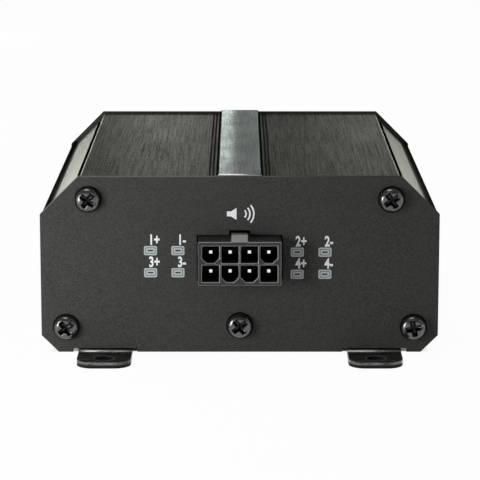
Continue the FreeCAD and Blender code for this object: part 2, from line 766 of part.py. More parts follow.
def pan_screw(label, length, head_height="screw_head_height"):
    """Pan-head screw along +Y, with the underside of its head at y = 0."""
    screw = new_body(label)
    head = new_sketch(screw)
    draw_circle(head, "0", "0", "screw_head_diameter / 2")
    pad(head, head_height)
    shank = new_sketch(screw)
    draw_circle(shank, "0", "0", "screw_shank_diameter / 2")
    pad(shank, length, backwards=True)
    return screw


def screws():
    """The four groups of screws, each one node."""
    plate_screw = pan_screw("plate_screw_pattern", "plate_screw_length")
    nodes = []
    for end in ("output", "input"):
        places = [(x, "0", rise) for x, rise in plate_screw_places()]
        node = group(f"{end}_plate_screws", plate_screw, places)
        place_at_end(node, end)
        nodes.append(node)
    upwards = FreeCAD.Rotation(X_AXIS, 90)
    board_screw = pan_screw("board_screw_pattern", "board_screw_length")
    places = [(x, y, BOARD_UNDERSIDE) for x, y in board_screw_places()]
    nodes.append(group("board_screws", board_screw, places, upwards))
    base_screw = pan_screw("base_screw_pattern", "base_screw_length", "base_head_height")
    places = [(x, y, BASE_UNDERSIDE) for x, y in corner_places(*BASE_SCREW)]
    nodes.append(group("base_screws", base_screw, places, upwards))
    for node in nodes[2:]:
        place(node)
    return nodes


# ---------------------------------------------------------------- headers

def is_keyed(row, column, columns):
    """Keyed cavities: the outer ones of the upper row and the inner ones of the lower row."""
    outer = column in (0, columns - 1)
    return outer if row == 0 else not outer


def cell_places(columns):
    """Row, column, x and z of every cavity, from the housing's middle; row 0 is the upper one."""
    cells = []
    for row in range(2):
        for column in range(columns):
            x = f"({column} - {columns - 1} / 2) * pitch"
            z = f"({1 - 2 * row} * pitch / 2 - cavity_drop)"
            cells.append((row, column, x, z))
    return cells


def header_housing(label, end, columns_name, x="0"):
    """Moulded socket: keyed cavities from the mouth, pin holes through the back and a latch ramp on top."""
    columns = int(SIZES[columns_name])
    housing = new_body(label)
    half_width = f"({housing_width(columns_name)} / 2)"
    block = new_sketch(housing, offset="header_reach")
    draw_rectangle(block, f"-{half_width}", half_width, "-housing_height / 2", "housing_height / 2")
    pad(block, "housing_length", backwards=True)

    half = "cavity_size / 2"
    cavities = new_sketch(housing, offset="header_reach")
    pin_holes = new_sketch(housing, offset="header_reach - housing_length")
    for row, column, cx, cz in cell_places(columns):
        cut = "cavity_key_cut" if is_keyed(row, column, columns) else None
        points = [(f"{cx} - {half}", f"{cz} + {half}"), (f"{cx} + {half}", f"{cz} + {half}")]
        if cut:
            points += [
                (f"{cx} + {half}", f"{cz} - {half} + {cut}"),
                (f"{cx} + {half} - {cut}", f"{cz} - {half}"),
                (f"{cx} - {half} + {cut}", f"{cz} - {half}"),
                (f"{cx} - {half}", f"{cz} - {half} + {cut}"),
            ]
        else:
            points += [(f"{cx} + {half}", f"{cz} - {half}"), (f"{cx} - {half}", f"{cz} - {half}")]
        draw_polygon(cavities, points)
        draw_rectangle(pin_holes, f"{cx} - pin_size / 2", f"{cx} + pin_size / 2",
                       f"{cz} - pin_size / 2", f"{cz} + pin_size / 2")
    pocket(cavities, "cavity_depth")
    pocket(pin_holes, "housing_length - cavity_depth", backwards=True)

    ramp = new_sketch(housing, "YZ_Plane")
    top = "(housing_height / 2)"
    draw_polygon(ramp, [
        ("-header_reach", top),
        ("-header_reach + latch_crest", f"{top} + latch_height"),
        ("-header_reach + latch_end", f"{top} + latch_height"),
        ("-header_reach + latch_end", f"{top} - cavity_drop"),
        ("-header_reach", f"{top} - cavity_drop"),
    ])
    pad(ramp, "latch_width", side="Symmetric")
    place_at_end(housing, end, x, "header_rise")
    return housing


def bent_pin(label, row):
    """Square pin: straight out of the cavity, then down through the board."""
    pin = new_body(label)
    centre_z = f"({1 - 2 * row} * pitch / 2 - cavity_drop)"
    tail_y = f"({PIN_TAIL} + {1 - row} * pin_tail_pitch)"
    tip_y = "(-header_reach + pin_tip_recess)"
    tail_end = f"({BOARD_UNDERSIDE} - pin_tail_length - header_rise)"
    half = "pin_size / 2"
    side_view = new_sketch(pin, "YZ_Plane")
    draw_polygon(side_view, [
        (tip_y, f"{centre_z} - {half}"),
        (f"{tail_y} - {half}", f"{centre_z} - {half}"),
        (f"{tail_y} - {half}", tail_end),
        (f"{tail_y} + {half}", tail_end),
        (f"{tail_y} + {half}", f"{centre_z} + {half}"),
        (tip_y, f"{centre_z} + {half}"),
    ])
    bar = pad(side_view, "pin_size", side="Symmetric")
    tip = edges_where(bar, lambda edge, middle: near(middle.y, tip_y))
    dress("Chamfer", bar, tip, "pin_tip_bevel")
    return pin


def pin_group(label, patterns, end, columns_name, x="0"):
    """All pins of one header as one node."""
    columns = int(SIZES[columns_name])
    copies = []
    for row, column, cx, _ in cell_places(columns):
        copy = doc.addObject("App::Link", f"{label}_{row}_{column}")
        copy.LinkedObject = patterns[row]
        bind(copy, Placement__Base__x=cx)
        copies.append(copy)
    node = doc.addObject("Part::Compound", label)
    node.Label = label
    node.Links = copies
    place_at_end(node, end, x, "header_rise")
    return node


HEADERS = (
    ("output", "output", "output_columns", "0"),
    ("input", "input", "input_columns", INPUT_HEADER_X),
    ("power", "input", "power_columns", POWER_HEADER_X),
)


def headers():
    """Housings and pins of the three headers."""
    patterns = [bent_pin(f"{name}_pin_pattern", row) for row, name in enumerate(("upper", "lower"))]
    nodes = []
    for name, end, columns_name, x in HEADERS:
        nodes.append(header_housing(f"{name}_header", end, columns_name, x))
        nodes.append(pin_group(f"{name}_pins", patterns, end, columns_name, x))
    return nodes


# ---------------------------------------------------------------- controls and lamp

def gain_knob(label, x):
    """Fluted knob with a driver slot, pushed on the potentiometer's flatted shaft."""
    knob = new_body(label)
    grip = new_sketch(knob, offset="knob_reach")
    draw_circle(grip, "0", "0", "knob_diameter / 2")
    cylinder = pad(grip, "knob_reach + knob_inner_end", backwards=True)
    rim = edges_where(cylinder, lambda edge, middle: near(middle.y, "-knob_reach"))
    dress("Chamfer", cylinder, rim, "knob_bevel")
    flute_sketch = new_sketch(knob, offset="knob_reach")
    flute_rim = "(knob_diameter / 2 + knob_bevel)"
    draw_polygon(flute_sketch, [
        ("knob_diameter / 2 - flute_depth", "0"),
        (flute_rim, "-flute_width"),
        (flute_rim, "flute_width"),
    ])
    flute = pocket(flute_sketch, "knob_reach")
    flutes = knob.newObject("PartDesign::PolarPattern", label + "_flutes")
    flutes.Originals = [flute]
    flutes.Axis = (flute_sketch, ["N_Axis"])
    flutes.Angle = 360
    bind(flutes, Occurrences="knob_flutes")
    knob.Tip = flutes
    doc.recompute()
    slot = new_sketch(knob, offset="knob_reach")
    draw_rectangle(slot, "-knob_slot_width / 2", "knob_slot_width / 2", "-knob_slot_length / 2",
                   "knob_slot_length / 2")
    pocket(slot, "knob_slot_depth")
    bore = new_sketch(knob, offset="-knob_inner_end")
    draw_circle(bore, "0", "0", "shaft_diameter / 2 + shaft_knob_gap")
    socket = pocket(bore, "knob_inner_end + shaft_reach + shaft_knob_gap", backwards=True)
    key = new_sketch(knob, offset="-knob_inner_end")
    key_line = "(shaft_diameter / 2 - shaft_flat + shaft_knob_gap)"
    draw_rectangle(key, "-shaft_diameter / 2", "shaft_diameter / 2", key_line,
                   "shaft_diameter / 2 + knob_bevel")
    pad(key, "knob_inner_end + shaft_reach + shaft_knob_gap")
    place_at_end(knob, "input", x, GAIN_RISE)
    return knob


def gain_shaft(label, x):
    """Potentiometer shaft, flatted for the knob and round in its bearing."""
    shaft = new_body(label)
    round_bar = new_sketch(shaft, offset="shaft_reach")
    draw_circle(round_bar, "0", "0", "shaft_diameter / 2")
    pad(round_bar, "pot_front + shaft_depth + shaft_reach", backwards=True)
    flat = new_sketch(shaft, offset="shaft_reach")
    draw_rectangle(flat, "-shaft_diameter", "shaft_diameter", "shaft_diameter / 2 - shaft_flat",
                   "shaft_diameter")
    pocket(flat, "knob_inner_end + shaft_reach")
    place_at_end(shaft, "input", x, GAIN_RISE)
    return shaft


def gain_pots():
    """Two potentiometer bodies standing on the board, each with a bearing collar and three terminals."""
    pot = new_body("pot_pattern")
    block = new_sketch(pot, offset="-pot_front")
    draw_rectangle(block, "-pot_width / 2", "pot_width / 2", "-shaft_above_board",
                   "pot_height - shaft_above_board")
    pad(block, "pot_length", backwards=True)
    collar = new_sketch(pot, offset="-pot_front")
    draw_circle(collar, "0", "0", "pot_collar_diameter / 2")
    pad(collar, "pot_collar_length")
    bore = new_sketch(pot, offset="-pot_front + pot_collar_length")
    draw_circle(bore, "0", "0", "shaft_diameter / 2 + shaft_running_gap")
    pocket(bore, "pot_collar_length + shaft_depth + shaft_running_gap")
    terminals = new_sketch(pot, offset="-(pot_front + pot_length)")
    for step in (-1, 0, 1):
        draw_rectangle(terminals, f"{step} * pot_pin_pitch - pot_pin_size / 2",
                       f"{step} * pot_pin_pitch + pot_pin_size / 2", "-shaft_above_board - pot_pin_length",
                       "-shaft_above_board + pot_pin_size")
    pad(terminals, "pot_pin_size", backwards=True)
    node = group("gain_pots", pot, [(FRONT_GAIN_X, "0", "0"), (REAR_GAIN_X, "0", "0")])
    place_at_end(node, "input", "0", GAIN_RISE)
    return node


def crossover_switch():
    """Switch body: a hollow case with a window for the slider."""
    case = new_body("crossover_switch")
    block = new_sketch(case, offset="-switch_front")
    draw_rectangle(block, "-switch_width / 2", "switch_width / 2", "-switch_height / 2", "switch_height / 2")
    pad(block, "switch_length", backwards=True)
    room = new_sketch(case, offset="-(switch_front + switch_wall)")
    draw_rectangle(room, "-switch_width / 2 + switch_wall", "switch_width / 2 - switch_wall",
                   "-switch_height / 2 + switch_wall", "switch_height / 2 - switch_wall")
    pocket(room, "slider_base_length + 2 * slider_gap")
    window = new_sketch(case, offset="-switch_front")
    half = "(slider_width / 2 + slider_travel + slider_gap)"
    rise = "(slider_height / 2 + slider_gap)"
    draw_rectangle(window, f"-{half}", half, f"-{rise}", rise)
    pocket(window, "switch_wall")
    place_at_end(case, "input", SWITCH_X, SWITCH_RISE)
    return case


def crossover_slider():
    """Slider: a base inside the switch body and a finger through its window and the end plate."""
    slider = new_body("crossover_slider")
    base_front = "(switch_front + switch_wall + slider_gap)"
    base_half_height = "(switch_height / 2 - switch_wall - slider_gap)"
    base = new_sketch(slider, offset=f"-{base_front}")
    draw_rectangle(base, "-slider_base_width / 2", "slider_base_width / 2", f"-{base_half_height}",
                   base_half_height)
    pad(base, "slider_base_length", backwards=True)
    finger = new_sketch(slider, offset=f"-{base_front}")
    draw_rectangle(finger, "-slider_width / 2", "slider_width / 2", "-slider_height / 2", "slider_height / 2")
    pad(finger, f"{base_front} + slider_reach")
    place_at_end(slider, "input", SWITCH_X, SWITCH_RISE)
    return slider


def status_lamp():
    """Round lamp, its holder on the board and its two bent leads."""
    lamp = new_body("status_led")
    lens = new_sketch(lamp, offset="led_reach")
    draw_circle(lens, "0", "0", "led_diameter / 2")
    lens_pad = pad(lens, "led_reach + led_flange_front", backwards=True)
    rim = edges_where(lens_pad, lambda edge, middle: near(middle.y, "-led_reach"))
    dress("Chamfer", lens_pad, rim, "led_bevel")
    flange = new_sketch(lamp, offset="-led_flange_front")
    draw_circle(flange, "0", "0", "led_flange_diameter / 2")
    pad(flange, "led_flange_thickness", backwards=True)
    place_at_end(lamp, "input", LAMP_X, LED_RISE)

    holder = new_body("led_holder")
    block = new_sketch(holder, offset="-holder_front")
    draw_rectangle(block, "-holder_width / 2", "holder_width / 2", "-led_above_board",
                   "holder_height - led_above_board")
    pad(block, "holder_length", backwards=True)
    seat = new_sketch(holder, offset="-holder_front")
    draw_circle(seat, "0", "0", "led_flange_diameter / 2 + holder_seat_gap")
    pocket(seat, "led_flange_front + led_flange_thickness - holder_front")
    lead_slots = new_sketch(holder, offset="-holder_front")
    lead_half = "(led_lead_size / 2 + holder_seat_gap)"
    for sign in ("", "-"):
        middle = f"{sign}led_lead_pitch / 2"
        draw_rectangle(lead_slots, f"{middle} - {lead_half}", f"{middle} + {lead_half}", "-led_above_board",
                       lead_half)
    pocket(lead_slots, "holder_length")
    place_at_end(holder, "input", LAMP_X, LED_RISE)

    lead = new_body("lead_pattern")
    side_view = new_sketch(lead, "YZ_Plane")
    start = "(led_flange_front + led_flange_thickness)"
    tail = "(holder_front + holder_length - led_lead_size)"
    half = "led_lead_size / 2"
    lowest = f"({BOARD_UNDERSIDE} - pin_tail_length - {LED_RISE})"
    draw_polygon(side_view, [
        (start, f"-{half}"),
        (f"{tail} - {half}", f"-{half}"),
        (f"{tail} - {half}", lowest),
        (f"{tail} + {half}", lowest),
        (f"{tail} + {half}", half),
        (start, half),
    ])
    pad(side_view, "led_lead_size", side="Symmetric")
    leads = group("led_leads", lead, [("led_lead_pitch / 2", "0", "0"), ("-led_lead_pitch / 2", "0", "0")])
    place_at_end(leads, "input", LAMP_X, LED_RISE)
    return [lamp, holder, leads]


# ---------------------------------------------------------------- board and its parts

def pin_holes():
    """Sets of square pin holes in the board: middles in the row's own frame, and the pin's size."""
    sets = []
    for _, end, columns_name, header_x in HEADERS:
        sign = "" if end == "output" else "-"
        holes = []
        for row, _, cx, _ in cell_places(int(SIZES[columns_name])):
            tail = f"({PIN_TAIL} + {1 - row} * pin_tail_pitch)"
            holes.append((f"{sign}({header_x} + {cx})", f"{sign}({tail} - {HALF_SPAN})"))
        sets.append((holes, "pin_size"))
    terminal_y = f"({HALF_SPAN} - pot_front - pot_length - pot_pin_size / 2)"
    terminals = [(f"-({x} + {step} * pot_pin_pitch)", terminal_y)
                 for x in (FRONT_GAIN_X, REAR_GAIN_X) for step in (-1, 0, 1)]
    sets.append((terminals, "pot_pin_size"))
    lead_y = f"({HALF_SPAN} - holder_front - holder_length + led_lead_size)"
    leads = [(f"-({LAMP_X} + {sign}led_lead_pitch / 2)", lead_y) for sign in ("", "-")]
    sets.append((leads, "led_lead_size"))
    return sets


def main_board():
    """Circuit board in the shell's slots, with holes for pins and for the screws under the heat rib."""
    board = new_body("main_board")
    outline = new_sketch(board, "XY_Plane", offset=BOARD_UNDERSIDE)
    draw_rectangle(outline, f"-{BOARD_HALF_WIDTH}", BOARD_HALF_WIDTH, f"-{BOARD_HALF_LENGTH}",
                   BOARD_HALF_LENGTH)
    pad(outline, "board_thickness")
    for holes, pin in pin_holes():
        sketch = new_sketch(board, "XY_Plane", offset=BOARD_TOP)
        half = f"({pin} / 2 + pin_hole_gap)"
        for x, y in holes:
            draw_rectangle(sketch, f"{x} - {half}", f"{x} + {half}", f"{y} - {half}", f"{y} + {half}")
        pocket(sketch, "board_thickness")
    screw_holes = new_sketch(board, "XY_Plane", offset=BOARD_TOP)
    for x, y in board_screw_places():
        draw_circle(screw_holes, x, y, PLAIN_HOLE)
    pocket(screw_holes, "board_thickness")
    place(board)
    return board


def amplifier_chips():
    """Two power chips under the heat rib, with leads along both sides, and the thermal pads on them."""
    chip = new_body("chip_pattern")
    case = new_sketch(chip, "XY_Plane", offset="chip_standoff")
    draw_rectangle(case, "-chip_x_length / 2", "chip_x_length / 2", "-chip_y_length / 2", "chip_y_length / 2")
    pad(case, "chip_height")
    leads = new_sketch(chip, "XY_Plane")
    for number in range(int(SIZES["lead_count"])):
        middle = f"({number} - (lead_count - 1) / 2) * lead_pitch"
        draw_rectangle(leads, f"{middle} - lead_width / 2", f"{middle} + lead_width / 2",
                       "-chip_y_length / 2 - lead_reach", "chip_y_length / 2 + lead_reach")
    pad(leads, "chip_standoff + lead_thickness")
    slab = new_body("thermal_pad_pattern")
    sheet_sketch = new_sketch(slab, "XY_Plane", offset="chip_standoff + chip_height")
    draw_rectangle(sheet_sketch, "-chip_x_length / 2", "chip_x_length / 2", "-chip_y_length / 2",
                   "chip_y_length / 2")
    pad(sheet_sketch, "thermal_pad_thickness")
    nodes = []
    for label, pattern in (("amplifier_chips", chip), ("thermal_pads", slab)):
        places = [(HEAT_RIB_X, "chip_first_y", "0"), (HEAT_RIB_X, "chip_first_y + chip_pitch", "0")]
        node = group(label, pattern, places)
        place(node, rise=BOARD_TOP)
        nodes.append(node)
    return nodes


def block_part(label, width, length, height, bevel, all_edges):
    """A box standing on the board, with its upright edges, or all but its bottom edges, bevelled."""
    block = new_body(label)
    footprint = new_sketch(block, "XY_Plane")
    draw_rectangle(footprint, f"-{width} / 2", f"{width} / 2", f"-{length} / 2", f"{length} / 2")
    solid = pad(footprint, height)

    def to_bevel(edge, middle):
        return middle.z > 0.01 if all_edges else runs_along(edge, Z_AXIS)

    chosen = edges_where(solid, to_bevel)
    dress("Chamfer", solid, chosen, bevel)
    return block


def row_places(width, inset, pitch, y):
    """As many places as fit from the right-hand side, at an inset from it, to the heat rib's foot."""
    first = f"(plate_width / 2 - {inset})"
    room = f"({first} - {width} / 2 - {HEAT_RIB_X} - heat_rib_foot / 2 - part_gap)"
    count = int(value_of(f"floor({room} / {pitch})")) + 1
    return [(f"({first} - {number} * {pitch})", y, "0") for number in range(count)]


def filter_parts():
    """Output inductors and film capacitors, one pair of inductors and one capacitor to each channel."""
    inductor = block_part("inductor_pattern", "inductor_size", "inductor_size", "inductor_height",
                          "inductor_corner", False)
    film = block_part("film_pattern", "film_length", "film_width", "film_height", "film_bevel", True)
    rows = []
    for y in (INDUCTOR_Y, f"({INDUCTOR_Y} + inductor_pitch)"):
        rows += row_places("inductor_size", "inductor_inset", "inductor_pitch", y)
    inductors = group("output_inductors", inductor, rows)
    film_places = row_places("inductor_size", "inductor_inset", "inductor_pitch", FILM_Y)
    films = group("film_capacitors", film, film_places)
    for node in (inductors, films):
        place(node, rise=BOARD_TOP)
    return [inductors, films]


def supply_capacitors():
    """Row of aluminium cans between the heat rib and the right side; a narrower housing holds fewer."""
    can = new_body("can_pattern")
    half_section = new_sketch(can)
    radius = "can_diameter / 2"
    draw_polygon(half_section, [
        ("0", "0"),
        (radius, "0"),
        (radius, CAN_HEIGHT),
        ("0", CAN_HEIGHT),
    ])
    turned = can.newObject("PartDesign::Revolution", "can_turned")
    turned.Profile = half_section
    turned.ReferenceAxis = (half_section, ["V_Axis"])
    doc.recompute()
    places = row_places("can_diameter", "can_inset", "can_pitch", CAN_Y)
    node = group("supply_capacitors", can, places)
    place(node, rise=BOARD_TOP)
    return node


def supply_choke():
    """Ring core lying over the board, and the turns of wire round it."""
    core = new_body("choke_core")
    under = "(wire_diameter + winding_gap)"
    top = f"({under} + core_height)"
    inner, outer = "core_inner_diameter / 2", "core_outer_diameter / 2"
    ring = new_sketch(core, "XY_Plane", offset=under)
    draw_circle(ring, "0", "0", inner)
    draw_circle(ring, "0", "0", outer)
    pad(ring, "core_height")
    winding = new_body("choke_winding")
    loop = new_sketch(winding)
    draw_rectangle(loop, f"{inner} - winding_gap - wire_diameter", WOUND_RADIUS, "0",
                   f"{top} + winding_gap + wire_diameter")
    draw_rectangle(loop, f"{inner} - winding_gap", f"{outer} + winding_gap", "wire_diameter",
                   f"{top} + winding_gap")
    turn = pad(loop, "wire_diameter", side="Symmetric")
    turns = winding.newObject("PartDesign::PolarPattern", "choke_turns")
    turns.Originals = [turn]
    turns.Axis = (loop, ["V_Axis"])
    turns.Angle = 360
    bind(turns, Occurrences="winding_turns")
    winding.Tip = turns
    for node in (core, winding):
        place(node, "plate_width / 2 - choke_inset", CHOKE_Y, BOARD_TOP)
    return [core, winding]


def signal_processor():
    processor = block_part("signal_processor", "processor_size", "processor_size", "processor_height",
                           "processor_corner", False)
    place(processor, "plate_width / 2 - processor_inset", CHOKE_Y, BOARD_TOP)
    return processor


# ---------------------------------------------------------------- build, check and write

nodes = [
    heatsink_shell(),
    trim_strip(),
    end_plate("output_end_plate", "output", output_openings),
    end_plate("input_end_plate", "input", input_openings),
    bottom_plate(),
    *screws(),
    *headers(),
    gain_knob("front_gain_knob", FRONT_GAIN_X),
    gain_knob("rear_gain_knob", REAR_GAIN_X),
    gain_shaft("front_gain_shaft", FRONT_GAIN_X),
    gain_shaft("rear_gain_shaft", REAR_GAIN_X),
    gain_pots(),
    crossover_switch(),
    crossover_slider(),
    *status_lamp(),
    main_board(),
    *amplifier_chips(),
    *filter_parts(),
    supply_capacitors(),
    *supply_choke(),
    signal_processor(),
]
doc.recompute()

for thing in doc.Objects:
    if "Invalid" in thing.State or "Error" in thing.State:
        raise RuntimeError(f"{thing.Label} did not build: {thing.State}")
for node in nodes:
    if node.Shape.isNull() or not node.Shape.isValid():
        raise RuntimeError(f"{node.Label} has no valid shape")

os.makedirs("parts", exist_ok=True)
for node in nodes:
    node.Shape.exportStep(f"parts/{node.Label}.step")
    box = node.Shape.BoundBox
    sides = f"x {box.XMin:.2f} {box.XMax:.2f}  y {box.YMin:.2f} {box.YMax:.2f}  z {box.ZMin:.2f} {box.ZMax:.2f}"
    print(f"{node.Label:20} {len(node.Shape.Solids):3} solids, volume {node.Shape.Volume:9.1f}, {sides}")
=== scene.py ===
import json
import math

import bmesh
import bpy
from mathutils import Matrix, Vector


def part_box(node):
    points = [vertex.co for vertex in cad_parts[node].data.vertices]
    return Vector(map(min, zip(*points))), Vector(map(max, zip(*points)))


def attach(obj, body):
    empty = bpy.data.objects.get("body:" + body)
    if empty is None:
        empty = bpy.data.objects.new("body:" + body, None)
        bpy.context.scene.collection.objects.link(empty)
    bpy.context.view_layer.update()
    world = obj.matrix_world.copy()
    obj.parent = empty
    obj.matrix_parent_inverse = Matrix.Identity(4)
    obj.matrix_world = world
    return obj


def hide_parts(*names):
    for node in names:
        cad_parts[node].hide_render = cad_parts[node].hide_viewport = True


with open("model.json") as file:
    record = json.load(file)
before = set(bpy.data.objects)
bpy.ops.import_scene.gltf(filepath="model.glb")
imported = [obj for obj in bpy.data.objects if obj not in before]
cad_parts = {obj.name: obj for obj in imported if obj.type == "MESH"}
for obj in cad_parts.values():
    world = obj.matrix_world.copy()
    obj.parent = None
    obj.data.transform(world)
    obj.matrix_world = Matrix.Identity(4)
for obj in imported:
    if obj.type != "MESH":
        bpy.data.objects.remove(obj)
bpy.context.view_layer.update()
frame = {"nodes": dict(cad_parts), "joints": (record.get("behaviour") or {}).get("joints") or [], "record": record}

MM = 0.001
NODES = frame["nodes"]
SCREW_PAINTED_SHADE = "screw_painted_shade"      # vertex attribute: 1 where a screw is painted full black, as painted shade on its flanks and in its recess


def joint_limits(name):
    """The limits of a joint, in metres or in degrees."""
    joint = next(joint for joint in frame["joints"] if joint["name"] == name)
    return joint.get("range_m") or joint["range_deg"]


def solids_of(node):
    """Boxes of the separate solids in a CAD node, sorted by height, then from the left, then from -Y."""
    mesh = bmesh.new()
    mesh.from_mesh(NODES[node].data)
    bmesh.ops.remove_doubles(mesh, verts=mesh.verts, dist=0.001 * MM)
    left = set(mesh.verts)
    boxes = []
    while left:
        stack = [left.pop()]
        low, high = stack[0].co.copy(), stack[0].co.copy()
        while stack:
            vertex = stack.pop()
            low = Vector(map(min, low, vertex.co))
            high = Vector(map(max, high, vertex.co))
            for edge in vertex.link_edges:
                other = edge.other_vert(vertex)
                if other in left:
                    left.remove(other)
                    stack.append(other)
        boxes.append((low, high))
    mesh.free()
    return sorted(boxes, key=lambda box: [round(box[0][axis], 5) for axis in (2, 0, 1)])


# ---------------------------------------------------------------- materials

CRISP = 0.02 * MM      # half the width of the border between two finishes


class Paint:
    """A Principled material under construction. Textures lie in the row frame, in metres."""

    def __init__(self, name, color, roughness, metallic=0.0, **sockets):
        self.material = bpy.data.materials.new(name)
        self.material.use_nodes = True
        self.tree = self.material.node_tree
        self.shader = self.tree.nodes["Principled BSDF"]
        self.shader.inputs["Base Color"].default_value = (*color, 1)
        self.shader.inputs["Roughness"].default_value = roughness
        self.shader.inputs["Metallic"].default_value = metallic
        for socket, value in sockets.items():
            self.shader.inputs[socket.replace("_", " ")].default_value = value
        self.coordinates = self.tree.nodes.new("ShaderNodeTexCoord")

    def node(self, kind, inputs=(), **settings):
        """A node with its settings; each input is a number, a vector or another node's output."""
        made = self.tree.nodes.new("ShaderNode" + kind)
        for name, value in settings.items():
            setattr(made, name, value)
        for key, value in dict(inputs).items():
            if isinstance(value, bpy.types.NodeSocket):
                self.tree.links.new(value, made.inputs[key])
            else:
                made.inputs[key].default_value = value
        return made

    def drive(self, socket, output):
        """Let a node's output set a socket of the shader."""
        self.tree.links.new(output, self.shader.inputs[socket])

    def noise(self, size, detail=2.0, roughness=0.5, shift=0.0):
        """Noise whose features are size = (x, y, z) metres long."""
        scale = tuple(1 / length for length in size)
        mapping = self.node("Mapping", {"Vector": self.coordinates.outputs["Object"], "Scale": scale,
                                        "Location": (shift, shift, shift)})
        noise = self.node("TexNoise", {"Vector": mapping.outputs[0], "Scale": 1.0, "Detail": detail,
                                       "Roughness": roughness})
        return noise.outputs["Fac"]

    def remap(self, value, low, high, to_low=0.0, to_high=1.0, smooth=False):
        """The value carried from the range low to high into the range to_low to to_high, and held there."""
        settings = {"interpolation_type": "SMOOTHSTEP"} if smooth else {}
        made = self.node("MapRange", {"Value": value, "From Min": low, "From Max": high, "To Min": to_low,
                                      "To Max": to_high}, **settings)
        return made.outputs["Result"]

    def band(self, value, low, high, soft):
        """1 where the value is between low and high."""
        rising = self.remap(value, low - soft, low + soft, smooth=True)
        falling = self.remap(value, high - soft, high + soft, 1.0, 0.0, smooth=True)
        return self.product(rising, falling)

    def math(self, operation, first, second=0.0):
        return self.node("Math", {0: first, 1: second}, operation=operation).outputs[0]

    def product(self, first, *others):
        """Values multiplied; of masks, the part that they have in common."""
        for other in others:
            first = self.math("MULTIPLY", first, other)
        return first

    def greatest(self, first, *others):
        """The greatest of the values; of masks, all that they cover."""
        for other in others:
            first = self.math("MAXIMUM", first, other)
        return first

    def mix(self, factor, first, second):
        """Colour that goes from first to second."""
        made = self.node("Mix", {"Factor": factor, "A": first, "B": second}, data_type="RGBA")
        return made.outputs["Result"]

    def mix_value(self, factor, first, second):
        """Number that goes from first to second."""
        return self.node("Mix", {"Factor": factor, "A": first, "B": second}).outputs["Result"]

    def axis(self, source, letter):
        """One component of the position ("Object") or of the normal ("Normal") in the row frame."""
        return self.node("SeparateXYZ", {0: self.coordinates.outputs[source]}).outputs[letter]

    def unsigned(self, source, letter):
        """A component without its sign, which is the same on both sides of the middle."""
        return self.math("ABSOLUTE", self.axis(source, letter))

    def vector(self, x, y, z):
        return self.node("CombineXYZ", {"X": x, "Y": y, "Z": z}).outputs[0]

    def distance(self, first, second):
        return self.node("VectorMath", {0: first, 1: second}, operation="DISTANCE").outputs["Value"]

    def bump(self, height, distance, strength=1.0):
        made = self.node("Bump", {"Height": height, "Distance": distance, "Strength": strength})
        self.drive("Normal", made.outputs[0])

    def grain_along_y(self):
        """Brushed along Y: reflections spread across the grain."""
        across = self.node("VectorMath", {0: (0, 1, 0), 1: self.coordinates.outputs["Normal"]},
                           operation="CROSS_PRODUCT")
        self.drive("Tangent", across.outputs[0])


def grey(level, warmth=0.0):
    """A faintly greenish grey, as the dark metals have it; warmth moves it from blue to red."""
    return (level * (0.97 + warmth), level, level * (0.95 - warmth), 1)


def olive(level):
    """The greenish grey of the anodised housing."""
    return (level * 0.94, level, level * 0.87, 1)


